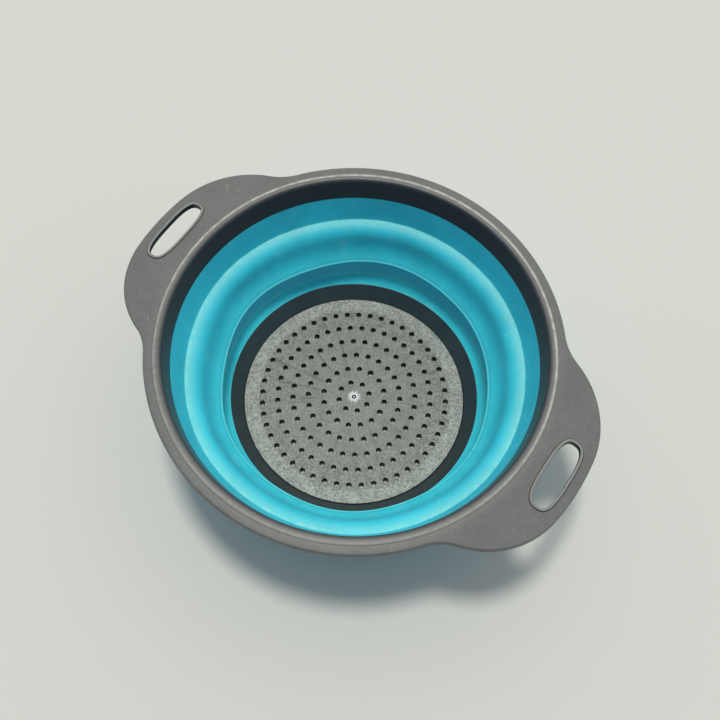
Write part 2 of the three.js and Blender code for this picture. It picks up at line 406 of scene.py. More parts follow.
class Graph:
    """Short calls for making nodes in one node tree."""

    def __init__(self, tree: bpy.types.NodeTree) -> None:
        """Keeps the tree that nodes go into."""
        self.tree = tree

    def node(self, kind: str, inputs: dict[str | int, Value | Sequence[float]] | None = None,
             **settings: object) -> bpy.types.Node:
        """Adds a node.

        Args:
            kind: Blender's name for the node's class.
            inputs: Values or sockets for the node's inputs, by name or number.
            **settings: The node's own properties.

        Returns:
            The new node.
        """
        node = self.tree.nodes.new(kind)
        for key, setting in settings.items():
            setattr(node, key, setting)
        for key, value in (inputs or {}).items():
            self.feed(node.inputs[key], value)
        return node

    def feed(self, target: Socket, value: Value | Sequence[float]) -> None:
        """Links a socket to an input, or sets the input to a value.

        Args:
            target: The input.
            value: The socket or the value.
        """
        if isinstance(value, Socket):
            self.tree.links.new(value, target)
        else:
            target.default_value = value

    def math(self, operation: str, *values: Value, clamp: bool = False) -> Socket:
        """Adds a Math node and returns its value."""
        node = self.node("ShaderNodeMath", dict(enumerate(values)), operation=operation, use_clamp=clamp)
        return node.outputs[0]

    def times(self, first: Value, second: Value) -> Socket:
        """Multiplies two values."""
        return self.math("MULTIPLY", first, second)

    def plus(self, first: Value, second: Value) -> Socket:
        """Adds two values."""
        return self.math("ADD", first, second)

    def minus(self, first: Value, second: Value) -> Socket:
        """Takes the second value from the first."""
        return self.math("SUBTRACT", first, second)

    def vector_math(self, operation: str, *values: Socket | Sequence[float]) -> bpy.types.Node:
        """Adds a Vector Math node and returns it."""
        return self.node("ShaderNodeVectorMath", dict(enumerate(values)), operation=operation)

    def scaled(self, vector: Socket, scale: Socket) -> Socket:
        """Multiplies a vector by a value."""
        return self.node("ShaderNodeVectorMath", {0: vector, "Scale": scale}, operation="SCALE").outputs[0]

    def mapped(self, value: Socket, start: float, end: float, low: float = 0.0, high: float = 1.0,
               smooth: bool = True) -> Socket:
        """Maps a value from start..end to low..high, held at the ends.

        Args:
            value: The value to map.
            start: The value that gives low.
            end: The value that gives high.
            low: First result.
            high: Last result.
            smooth: Whether the step is eased at both ends.

        Returns:
            The mapped value.
        """
        kind = "SMOOTHSTEP" if smooth else "LINEAR"
        inputs = {"Value": value, "From Min": start, "From Max": end, "To Min": low, "To Max": high}
        return self.node("ShaderNodeMapRange", inputs, interpolation_type=kind).outputs["Result"]

    def noise(self, place: Socket, size_mm: float, detail: float = 2.0, roughness: float = 0.5) -> Socket:
        """Gives noise whose features are about a size across.

        Args:
            place: Coordinates in metres.
            size_mm: Feature size in millimetres.
            detail: Octaves of finer noise.
            roughness: Strength of the finer noise.

        Returns:
            The noise, about 0 to 1.
        """
        inputs = {"Vector": place, "Scale": 1.0 / (size_mm * MM), "Detail": detail, "Roughness": roughness}
        return self.node("ShaderNodeTexNoise", inputs).outputs["Fac"]

    def mix(self, factor: Value, first: Socket | Colour, second: Socket | Colour,
            blend: str = "MIX") -> Socket:
        """Mixes two colours.

        Args:
            factor: Share of the second colour.
            first: First colour.
            second: Second colour.
            blend: Blender's name for the way they mix.

        Returns:
            The mixed colour.
        """
        node = self.node("ShaderNodeMix", data_type="RGBA", blend_type=blend)
        self.feed(node.inputs["Factor"], factor)
        self.feed(node.inputs["A"], first)
        self.feed(node.inputs["B"], second)
        return node.outputs["Result"]

    def group(self, tree: bpy.types.NodeTree, inputs: dict[str, Value | Sequence[float]]) -> bpy.types.Node:
        """Places a node group with its own values.

        Args:
            tree: The group.
            inputs: Values or sockets for the group's inputs, by name.

        Returns:
            The group's node.
        """
        node = self.node("ShaderNodeGroup", node_tree=tree)
        for key, value in inputs.items():
            self.feed(node.inputs[key], value)
        return node


def new_group(
    name: str, inputs: dict[str, str], outputs: dict[str, str],
) -> tuple[Graph, dict[str, Socket], bpy.types.Node]:
    """Starts a shader node group.

    Args:
        name: The group's name.
        inputs: Socket class of each input, by name.
        outputs: Socket class of each output, by name.

    Returns:
        The group's graph, its inputs as sockets inside the group, and its output node.
    """
    tree = bpy.data.node_groups.new(name, "ShaderNodeTree")
    for label, kind in inputs.items():
        tree.interface.new_socket(label, in_out="INPUT", socket_type=kind)
    for label, kind in outputs.items():
        tree.interface.new_socket(label, in_out="OUTPUT", socket_type=kind)
    graph = Graph(tree)
    entry = graph.node("NodeGroupInput")
    return graph, {label: entry.outputs[label] for label in inputs}, graph.node("NodeGroupOutput")


FLOAT = "NodeSocketFloat"
VECTOR = "NodeSocketVector"


class Effects:
    """Node groups that more than one finish uses."""

    def __init__(self) -> None:
        """Builds each group once."""
        self.polar = self._polar()
        self.grain = self._grain()
        self.specks = self._specks()
        self.line = self._line()

    @staticmethod
    def _polar() -> bpy.types.NodeTree:
        """Builds a group for a place's radius, height and angle round the bowl's axis.

        Returns:
            The group. It gives radius and height in millimetres, and the angle in turns.
        """
        graph, given, out = new_group("round_the_axis", {"Place": VECTOR},
                                      {"Radius": FLOAT, "Height": FLOAT, "Angle": FLOAT})
        split = graph.node("ShaderNodeSeparateXYZ", {"Vector": given["Place"]}).outputs
        squares = [graph.math("POWER", split[axis], 2.0) for axis in "XY"]
        radius = graph.math("SQRT", graph.plus(*squares))
        graph.feed(out.inputs["Radius"], graph.math("DIVIDE", radius, MM))
        graph.feed(out.inputs["Height"], graph.math("DIVIDE", split["Z"], MM))
        turn = graph.math("ARCTAN2", split["Y"], split["X"])
        graph.feed(out.inputs["Angle"], graph.math("DIVIDE", turn, 2.0 * math.pi))
        return graph.tree

    @staticmethod
    def _grain() -> bpy.types.NodeTree:
        """Builds a group for the fine spark-eroded grain of a moulding tool.

        The tone is 1 plus the depth times what a mix of fine and coarse noise has over its middle, and
        never less than a least tone. The height is the fine noise.

        Returns:
            The group. It gives a tone about 1, and a height from 0 to 1.
        """
        fine_size, coarse_size = 0.55, 2.4
        fine_share, middle, least_tone = 0.7, 0.5, 0.2
        graph, given, out = new_group("tool_grain", {"Place": VECTOR, "Grain": FLOAT, "Depth": FLOAT},
                                      {"Tone": FLOAT, "Height": FLOAT})
        place = graph.scaled(given["Place"], given["Grain"])
        fine = graph.noise(place, fine_size, detail=3.0, roughness=0.6)
        coarse = graph.noise(place, coarse_size)
        both = graph.plus(graph.times(fine, fine_share), graph.times(coarse, 1.0 - fine_share))
        swing = graph.times(graph.minus(both, middle), given["Depth"])
        graph.feed(out.inputs["Tone"], graph.math("MAXIMUM", graph.plus(swing, 1.0), least_tone))
        graph.feed(out.inputs["Height"], fine)
        return graph.tree

    @staticmethod
    def _specks() -> bpy.types.NodeTree:
        """Builds a group for sparse specks of dust, one in the middle of a share of a pattern's cells.

        Returns:
            The group. It gives a mask that is 1 inside a speck.
        """
        speck_edge, speck_core = 0.16, 0.06
        graph, given, out = new_group("dust_specks", {"Place": VECTOR, "Cell": FLOAT, "Share": FLOAT},
                                      {"Mask": FLOAT})
        cells = graph.node("ShaderNodeTexVoronoi", {"Vector": given["Place"], "Scale": given["Cell"]})
        lot = graph.node("ShaderNodeSeparateColor", {"Color": cells.outputs["Color"]}).outputs["Red"]
        chosen = graph.math("LESS_THAN", lot, given["Share"])
        spot = graph.mapped(cells.outputs["Distance"], speck_edge, speck_core)
        graph.feed(out.inputs["Mask"], graph.times(spot, chosen))
        return graph.tree

    @staticmethod
    def _line() -> bpy.types.NodeTree:
        """Builds a group for a thin mark between two points in plan.

        The distance to the mark is the distance to the nearest point of the stretch from Start to End,
        which is Start plus the share of the way, held between 0 and 1, times the way.

        Returns:
            The group. It gives a mask that is 1 along the mark and fades to its width.
        """
        core = 0.3
        graph, given, out = new_group(
            "thin_mark", {"Place": VECTOR, "Start": VECTOR, "End": VECTOR, "Width": FLOAT}, {"Mask": FLOAT})
        flat = graph.vector_math("MULTIPLY", given["Place"], (1.0, 1.0, 0.0)).outputs[0]
        way = graph.vector_math("SUBTRACT", given["End"], given["Start"]).outputs[0]
        here = graph.vector_math("SUBTRACT", flat, given["Start"]).outputs[0]
        along = graph.vector_math("DOT_PRODUCT", here, way).outputs["Value"]
        length = graph.vector_math("DOT_PRODUCT", way, way).outputs["Value"]
        step = graph.scaled(way, graph.math("DIVIDE", along, length, clamp=True))
        away = graph.vector_math("DISTANCE", here, step).outputs["Value"]
        ratio = graph.math("DIVIDE", away, given["Width"])
        graph.feed(out.inputs["Mask"], graph.mapped(ratio, 1.0, core))
        return graph.tree


class FinishGraph(Graph):
    """A material's graph, with its shader, its object coordinates and its place round the bowl's axis."""

    def __init__(self, name: str, effects: Effects) -> None:
        """Starts a material with a Principled shader.

        Args:
            name: The material's name.
            effects: The shared groups.
        """
        self.material = bpy.data.materials.new(name)
        self.material.use_nodes = True
        super().__init__(self.material.node_tree)
        self.effects = effects
        self.shader = self.tree.nodes["Principled BSDF"]
        self.place = self.node("ShaderNodeTexCoord").outputs["Object"]
        polar = self.group(effects.polar, {"Place": self.place}).outputs
        self.radius, self.height, self.angle = polar["Radius"], polar["Height"], polar["Angle"]

    def attribute(self, name: str) -> Socket:
        """Reads a value that the mesh's points keep."""
        return self.node("ShaderNodeAttribute", attribute_name=name).outputs["Fac"]

    def toned(self, colour: Socket | Colour, tone: Socket) -> Socket:
        """Multiplies a colour by a tone."""
        grey = self.node("ShaderNodeCombineColor", {"Red": tone, "Green": tone, "Blue": tone})
        return self.mix(1.0, colour, grey.outputs["Color"], "MULTIPLY")

    def bump(self, height: Socket, depth_mm: float, strength: float) -> None:
        """Feeds a height through a Bump node into the shader's normal."""
        inputs = {"Height": height, "Distance": depth_mm * MM, "Strength": strength}
        self.feed(self.shader.inputs["Normal"], self.node("ShaderNodeBump", inputs).outputs["Normal"])

    def set_shader(self, **values: Value | Colour) -> bpy.types.Material:
        """Sets the shader's inputs.

        Args:
            **values: Values or sockets by the inputs' names, with underscores for the spaces in them.

        Returns:
            The material.
        """
        for key, value in values.items():
            self.feed(self.shader.inputs[key.replace("_", " ")], value)
        return self.material


# Parts of a finish, with lengths in millimetres


@dataclass(frozen=True)
class Ramp:
    """A mask that goes smoothly from its rest at the start to its strength where it is full."""

    start: float
    full: float
    strength: float = 1.0
    rest: float = 0.0

    def mask(self, graph: Graph, value: Socket, origin: float = 0.0) -> Socket:
        """Gives the mask along a value, with start and full counted from an origin."""
        return graph.mapped(value, origin + self.start, origin + self.full, self.rest, self.strength)


@dataclass(frozen=True)
class Band:
    """A mask that rises from its start, is full as far as it starts fading, and falls to its end."""

    start: float
    full: float
    fading: float
    end: float
    strength: float = 1.0

    def mask(self, graph: Graph, value: Socket, origin: float = 0.0) -> Socket:
        """Gives the mask along a value.

        Args:
            graph: The material's graph.
            value: The value.
            origin: What the band's bounds are counted from.

        Returns:
            The mask.
        """
        rise = graph.mapped(value, origin + self.start, origin + self.full, 0.0, self.strength)
        fall = graph.mapped(value, origin + self.end, origin + self.fading)
        return graph.times(rise, fall)


@dataclass(frozen=True)
class Patches:
    """Values that wander over a surface: noise of a size, eased from its start and end to low and high."""

    size: float
    low: float
    high: float
    detail: float = 3.0
    roughness: float = 0.5
    start: float = 0.3
    end: float = 0.7

    def values(self, graph: FinishGraph) -> Socket:
        """Gives the values in a material."""
        noise = graph.noise(graph.place, self.size, self.detail, self.roughness)
        return graph.mapped(noise, self.start, self.end, self.low, self.high)


@dataclass(frozen=True)
class Grain:
    """A moulding tool's grain: how much finer than standard, swing in tone, bump depth and strength."""

    fineness: float
    swing: float
    depth: float
    strength: float

    def tone_and_height(self, graph: FinishGraph) -> tuple[Socket, Socket]:
        """Gives the grain in a material.

        Args:
            graph: The material's graph.

        Returns:
            Tone about 1, and height from 0 to 1.
        """
        inputs = {"Place": graph.place, "Grain": self.fineness, "Depth": self.swing}
        outputs = graph.group(graph.effects.grain, inputs).outputs
        return outputs["Tone"], outputs["Height"]


@dataclass(frozen=True)
class Dust:
    """Sparse specks: size of the cells they lie in, share of cells with one, strength and colour."""

    cell: float
    share: float
    strength: float
    colour: Colour

    def over(self, graph: FinishGraph, colour: Socket) -> Socket:
        """Lays the specks over a colour.

        Args:
            graph: The material's graph.
            colour: The colour beneath.

        Returns:
            The colour with specks on it.
        """
        inputs = {"Place": graph.place, "Cell": 1.0 / (self.cell * MM), "Share": self.share}
        specks = graph.group(graph.effects.specks, inputs).outputs["Mask"]
        return graph.mix(graph.times(specks, self.strength), colour, self.colour)


@dataclass(frozen=True)
class Mark:
    """A thin straight mark on a surface, in plan."""

    start: tuple[float, float]
    end: tuple[float, float]
    width: float

    def mask(self, graph: FinishGraph) -> Socket:
        """Gives the mark's mask in a material.

        Args:
            graph: The material's graph.

        Returns:
            The mask.
        """
        inputs = {
            "Place": graph.place,
            "Start": (self.start[0] * MM, self.start[1] * MM, 0.0),
            "End": (self.end[0] * MM, self.end[1] * MM, 0.0),
            "Width": self.width * MM,
        }
        return graph.group(graph.effects.line, inputs).outputs["Mask"]


@dataclass(frozen=True)
class Marks:
    """Thin marks of one kind, with their colour and how strongly it covers."""

    colour: Colour
    strength: float
    marks: tuple[Mark, ...]

    def over(self, graph: FinishGraph, colour: Socket) -> Socket:
        """Lays the marks over a colour.

        Args:
            graph: The material's graph.
            colour: The colour beneath.

        Returns:
            The colour with the marks on it.
        """
        for mark in self.marks:
            colour = graph.mix(graph.times(mark.mask(graph), self.strength), colour, self.colour)
        return colour


# Finishes


PLASTIC_IOR = 1.49
RUBBER_IOR = 1.41


@dataclass(frozen=True)
class RimFinish:
    """Satin grey plastic: matt grain on the flange and ears, and a smooth inner wall painted dark, partly
    its own tone and partly painted shade.

    The crest's line and the slots' collar tops are painted pale, as rubbing and as painted highlight, the
    crest's line fading towards one side where the highlight is weaker. The slots' walls and the collars'
    outer feet are painted dark as painted shade.
    """

    top: Colour = srgb(102, 105, 103)
    # Inner wall colour: its own smooth tone, darkened further as painted shade.
    wall: Colour = srgb(38, 43, 50)
    # Near black painted on the slots' walls as painted shade.
    slot_shade: Colour = srgb(13, 14, 16)
    pale_wear_and_highlight: Colour = srgb(186, 186, 182)
    grain: Grain = Grain(0.7, 1.0, 0.05, 0.6)
    cloud: Patches = Patches(26.0, 0.95, 1.05)
    wall_start: float = 0.9
    wall_full: float = 4.6
    wall_polish: float = 0.14
    crest_line: Band = Band(-1.4, -0.35, -0.05, 1.0)
    crest_top: Ramp = Ramp(-1.0, -0.5)
    patchiness: Patches = Patches(5.0, 0.5, 0.95, 4.0, 0.7, 0.38, 0.6)
    fade_turn_deg: float = -80.0
    line_fade: Ramp = Ramp(-0.6, 0.9, 0.25, 1.0)
    roughness: Ramp = Ramp(0.3, 0.7, 0.56, 0.46)
    dust: Dust = Dust(9.0, 0.04, 0.5, srgb(176, 178, 174))
    knit_lines: Marks = Marks(srgb(64, 66, 64), 0.4, (
        Mark((141.0, 2.2), (146.4, 2.4), 0.3),
        Mark((-141.0, 0.1), (-146.4, 0.0), 0.3),
    ))
    scratches: Marks = Marks(srgb(176, 178, 174), 0.6, (
        Mark((-127.9, 44.4), (-124.5, 39.8), 0.22),
        Mark((-119.9, 42.7), (-117.3, 43.9), 0.18),
        Mark((-107.5, -54.7), (-104.8, -56.9), 0.2),
    ))

    def material(self, effects: Effects, sizes: BowlSizes) -> bpy.types.Material:
        """Builds the finish.

        How pale the crest's line is painted, as rubbing and painted highlight, follows the cosine of the
        angle from the side where it fades.

        Args:
            effects: The shared groups.
            sizes: The bowl's sizes.

        Returns:
            The material.
        """
        graph = FinishGraph("rim_satin_grey", effects)
        crest_radius, crest_height = (float(part) for part in sizes.crest)
        smooth = graph.mapped(graph.radius, crest_radius - self.wall_start, crest_radius - self.wall_full,
                              smooth=False)
        tone, grain_height = self.grain.tone_and_height(graph)
        colour = graph.toned(graph.toned(self.top, tone), self.cloud.values(graph))
        # The inner wall is painted dark: partly its smooth face's own tone, partly painted shade where it
        # faces away from the light.
        colour = graph.mix(smooth, colour, self.wall)
        edge = graph.attribute(SLOT_EDGE)
        # Painted shade: the slots' walls and a thin line along each collar's outer foot go dark.
        colour = graph.mix(graph.mapped(edge, 0.0, -1.0, smooth=False), colour, self.slot_shade)
        # The collars' tops are painted pale: rubbing plus a painted highlight.
        colour = graph.mix(graph.mapped(edge, 0.0, 1.0, smooth=False), colour, self.pale_wear_and_highlight)
        # The crest's line is painted pale: rubbing plus a painted highlight, fading towards the side where
        # the highlight is weaker.
        line = graph.times(self.crest_line.mask(graph, graph.radius, crest_radius),
                           self.crest_top.mask(graph, graph.height, crest_height))
        angle = graph.times(graph.angle, 2.0 * math.pi)
        off_fade_side = graph.minus(angle, math.radians(self.fade_turn_deg))
        line_fade = self.line_fade.mask(graph, graph.math("COSINE", off_fade_side))
        rub_and_highlight = graph.times(self.patchiness.values(graph), line_fade)
        colour = graph.mix(graph.times(line, rub_and_highlight), colour, self.pale_wear_and_highlight)
        colour = self.knit_lines.over(graph, colour)
        colour = self.scratches.over(graph, colour)
        colour = self.dust.over(graph, colour)
        roughness = self.roughness.mask(graph, grain_height)
        roughness = graph.plus(graph.times(smooth, -self.wall_polish), roughness)
        grained = graph.times(grain_height, graph.minus(1.0, smooth))
        graph.bump(grained, self.grain.depth, self.grain.strength)
        return graph.set_shader(Base_Color=colour, Roughness=roughness, IOR=PLASTIC_IOR)


@dataclass(frozen=True)
class SoftFinish:
    """Turquoise soft rubber with a low sheen, painted a little bluer where it lies in shade, as painted
    shade.

    It has pale smears, a painted highlight along the lower crest and, with fine dust, on the ledge, and a
    line of painted shade in the groove above the crest. Bounds near the crest and in the fold count from
    the lower crest, those of the upper band and the ledge from the upper crease.
    """

    body: Colour = srgb(58, 199, 216)
    # Bluer colour painted where the rubber lies in shade.
    shade_blue: Colour = srgb(44, 188, 232)
    pale: Colour = srgb(162, 226, 217)
    # Colour of the painted highlight along the lower crest.
    crest_highlight: Colour = srgb(112, 226, 236)
    hinge_shade: Colour = srgb(26, 128, 152)
    cloud: Patches = Patches(22.0, 0.94, 1.06, roughness=0.6)
    under_crest: Band = Band(-16.0, -8.0, -0.5, 0.0)
    inside_crest: Ramp = Ramp(1.7, 1.1)
    in_fold: Band = Band(2.0, 6.5, 12.0, 16.0, 0.2)
    upper_band: Ramp = Ramp(0.0, 0.8, 0.3)
    smear: Patches = Patches(9.0, 0.0, 0.16, 4.0, 0.65, 0.52, 0.8)
    crest_highlight_band: Band = Band(-0.1, 0.2, 0.4, 1.5, 0.42)
    hinge_shade_line: Band = Band(0.9, 1.5, 1.7, 2.3, 0.3)
    ledge_dust_and_highlight: Band = Band(-7.5, -2.0, -0.2, 0.4, 0.24)
    ledge_rub_and_highlight: Band = Band(-3.2, -0.8, -0.2, 0.4)
    patchiness: Patches = Patches(5.0, 0.0, 0.3, 4.0, 0.7, 0.42, 0.62)
    dust: Dust = Dust(7.0, 0.03, 0.25, srgb(200, 226, 230))
    skin_size: float = 0.8
    skin_depth: float = 0.03
    skin_strength: float = 0.5
    roughness: Patches = Patches(5.0, 0.42, 0.54)
    specular: float = 0.35

    def material(self, effects: Effects, sizes: BowlSizes) -> bpy.types.Material:
        """Builds the finish.

        Args:
            effects: The shared groups.
            sizes: The bowl's sizes.

        Returns:
            The material.
        """
        graph = FinishGraph("wall_turquoise_rubber", effects)
        crest_radius, crest_height = (float(part) for part in sizes.lower_crease)
        ledge_radius = float(sizes.upper_crease[0])
        radius = graph.attribute(PLAIN_RADIUS)
        # Painted shade: the rubber goes bluer under the crest, in the fold and on the upper band, where it
        # lies in shade.
        under_crest = graph.times(self.under_crest.mask(graph, graph.height, crest_height),
                                  self.inside_crest.mask(graph, radius, crest_radius))
        further_up = graph.plus(self.upper_band.mask(graph, radius, ledge_radius),
                                self.in_fold.mask(graph, radius, crest_radius))
        colour = graph.mix(graph.plus(under_crest, further_up), self.body, self.shade_blue)
        colour = graph.toned(colour, self.cloud.values(graph))
        colour = graph.mix(self.smear.values(graph), colour, self.pale)
        # Painted highlight along the lower crest.
        colour = graph.mix(self.crest_highlight_band.mask(graph, radius, crest_radius), colour, self.crest_highlight)
        # Painted shade in the groove just above the lower crest.
        colour = graph.mix(self.hinge_shade_line.mask(graph, radius, crest_radius), colour, self.hinge_shade)
        # The ledge is painted pale: fine dust plus a patchy painted highlight.
        rub_and_highlight = graph.times(self.ledge_rub_and_highlight.mask(graph, radius, ledge_radius), self.patchiness.values(graph))
        on_ledge = graph.plus(self.ledge_dust_and_highlight.mask(graph, radius, ledge_radius), rub_and_highlight)
        colour = graph.mix(on_ledge, colour, self.pale)
        colour = self.dust.over(graph, colour)
        skin = graph.noise(graph.place, self.skin_size, detail=3.0, roughness=0.6)
        graph.bump(skin, self.skin_depth, self.skin_strength)
        return graph.set_shader(Base_Color=colour, Roughness=self.roughness.values(graph), IOR=RUBBER_IOR,
                                Specular_IOR_Level=self.specular)


@dataclass(frozen=True)
class BaseFinish:
    """Smooth charcoal plastic of the base ring."""

    body: Colour = srgb(48, 57, 59)
    grain: Grain = Grain(1.4, 0.16, 0.02, 0.4)
    cloud: Patches = Patches(14.0, 0.9, 1.1, 4.0)
    dust: Dust = Dust(6.0, 0.06, 0.5, srgb(120, 126, 126))
    roughness: Patches = Patches(4.0, 0.3, 0.42)

    def material(self, effects: Effects) -> bpy.types.Material:
        """Builds the finish.

        Args:
            effects: The shared groups.

        Returns:
            The material.
        """
        graph = FinishGraph("base_smooth_charcoal", effects)
        tone, grain_height = self.grain.tone_and_height(graph)
        colour = graph.toned(graph.toned(self.body, tone), self.cloud.values(graph))
        colour = self.dust.over(graph, colour)
        graph.bump(grain_height, self.grain.depth, self.grain.strength)
        return graph.set_shader(Base_Color=colour, Roughness=self.roughness.values(graph), IOR=PLASTIC_IOR)


@dataclass(frozen=True)
class PlateFinish:
    """Matt mottled grey plastic, with a paler border, flow marks, a pale gate mark and a few scratches.

    It is darker beneath, and dull in the holes, whose walls are painted near black as painted shade. The
    holes' and the underside's bounds are heights from the plate's faces, and the scuff's turn is in turns
    round the axis.
    """

    body: Colour = srgb(134, 136, 129)
    pale: Colour = srgb(176, 180, 175)
    gate: Colour = srgb(235, 236, 232)
    crater: Colour = srgb(48, 51, 50)
    flow: Colour = srgb(82, 87, 84)
    # Near black painted on the hole walls as painted shade.
    hole_shade: Colour = srgb(4, 4, 5)
    underside: Colour = srgb(50, 55, 56)
    grain: Grain = Grain(1.9, 6.0, 0.12, 0.7)
    cloud: Patches = Patches(7.0, 0.9, 1.1, 4.0, 0.6)
    border: Ramp = Ramp(61.0, 64.0, 0.42)
    mottle: Ramp = Ramp(30.0, 63.0, 1.0, 0.45)
    streak_rays: float = 70.0
    streak_drift: float = 0.02
    streaks: Ramp = Ramp(0.57, 0.72, 0.6)
    streaked: Band = Band(14.0, 30.0, 57.0, 63.0)
    scuff_ring: Band = Band(61.3, 62.0, 62.4, 63.1)
    scuff_turn: Band = Band(-0.48, -0.42, -0.26, -0.2)
    scuff: Patches = Patches(3.0, 0.0, 0.7, start=0.4, end=0.6)
    gate_rays: float = 30.0
    gate_reach: Ramp = Ramp(0.3, 0.7, -1.2, 1.2)
    gate_mark: Ramp = Ramp(4.8, 1.7, 0.9)
    gate_crater: Band = Band(0.4, 0.7, 1.3, 1.6, 0.9)
    in_hole: Ramp = Ramp(-0.1, -0.45)
    beneath: Ramp = Ramp(0.1, 0.02)
    roughness: Ramp = Ramp(0.3, 0.7, 0.66, 0.5)
    hole_dullness: float = 0.3
    specular: float = 0.25
    scratches: Marks = Marks(srgb(176, 180, 175), 0.5, (
        Mark((15.1, 21.9), (14.2, 5.1), 0.28),
        Mark((14.2, 5.1), (14.8, -11.6), 0.28),
        Mark((8.2, 16.2), (7.7, 11.2), 0.28),
        Mark((7.7, 11.2), (12.3, 5.3), 0.28),
        Mark((3.6, -3.3), (7.1, -9.9), 0.3),
        Mark((7.1, -9.9), (13.2, -16.2), 0.3),
        Mark((3.8, 0.5), (8.6, -1.5), 0.28),
        Mark((2.3, -3.4), (2.2, -8.5), 0.24),
        Mark((-7.0, -10.8), (-2.5, -17.8), 0.24),
    ))

    @staticmethod
    def rays(graph: FinishGraph, count: float, drift: float, detail: float) -> Socket:
        """Gives noise that runs in rays from the plate's centre.

        It is read at the count times the angle in turns, and the drift times the radius.

        Args:
            graph: The material's graph.
            count: About how many rays there are.
            drift: How fast the noise changes along a ray.
            detail: Octaves of finer noise.

        Returns:
            The noise.
        """
        place = graph.node("ShaderNodeCombineXYZ", {"X": graph.times(graph.angle, count),
                                                    "Y": graph.times(graph.radius, drift)}).outputs[0]
        noise = graph.node("ShaderNodeTexNoise", {"Vector": place, "Scale": 1.0, "Detail": detail})
        return noise.outputs["Fac"]

    def material(self, effects: Effects, sizes: BowlSizes) -> bpy.types.Material:
        """Builds the finish.

        Args:
            effects: The shared groups.
            sizes: The bowl's sizes.

        Returns:
            The material.
        """
        graph = FinishGraph("plate_matt_grey", effects)
        tone, grain_height = self.grain.tone_and_height(graph)
        colour = graph.mix(self.border.mask(graph, graph.radius), self.body, self.pale)
        swing = graph.times(graph.minus(tone, 1.0), self.mottle.mask(graph, graph.radius))
        colour = graph.toned(graph.toned(colour, graph.plus(swing, 1.0)), self.cloud.values(graph))
        streaks = self.streaks.mask(graph, self.rays(graph, self.streak_rays, self.streak_drift, 2.0))
        flow = graph.times(streaks, self.streaked.mask(graph, graph.radius))
        colour = graph.mix(flow, colour, self.flow)
        scuffed = graph.times(self.scuff_turn.mask(graph, graph.angle), self.scuff.values(graph))
        scuff = graph.times(self.scuff_ring.mask(graph, graph.radius), scuffed)
        colour = graph.mix(scuff, colour, self.pale)
        reach = self.gate_reach.mask(graph, self.rays(graph, self.gate_rays, 0.0, 1.0))
        gate = self.gate_mark.mask(graph, graph.plus(graph.radius, reach))
        colour = graph.mix(gate, colour, self.gate)
        colour = graph.mix(self.gate_crater.mask(graph, graph.radius), colour, self.crater)
        colour = self.scratches.over(graph, colour)
        in_hole = self.in_hole.mask(graph, graph.height, sizes.plate_top)
        beneath = self.beneath.mask(graph, graph.height, sizes.plate_bottom)
        # Painted shade: the hole walls go near black.
        colour = graph.mix(beneath, graph.mix(in_hole, colour, self.hole_shade), self.underside)
        graph.bump(grain_height, self.grain.depth, self.grain.strength)
        roughness = self.roughness.mask(graph, grain_height)
        roughness = graph.plus(roughness, graph.times(in_hole, self.hole_dullness))
        return graph.set_shader(Base_Color=colour, Roughness=roughness, IOR=PLASTIC_IOR,
                                Specular_IOR_Level=self.specular)


# Pieces


def place_piece(piece: bpy.types.Object, material: bpy.types.Material, slot: FinishSlot,
                *nodes: str) -> None:
    """Gives a piece its finish and says which solids it stands for.

    Args:
        piece: The piece.
        material: Its material.
        slot: The record's slot for its finish; not used.
        *nodes: The solids that it replaces.
    """
    piece.data.materials.append(material)
    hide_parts(*nodes)
    LOG.info("%s: %d faces, stands for %s", piece.name, len(piece.data.polygons), ", ".join(nodes))


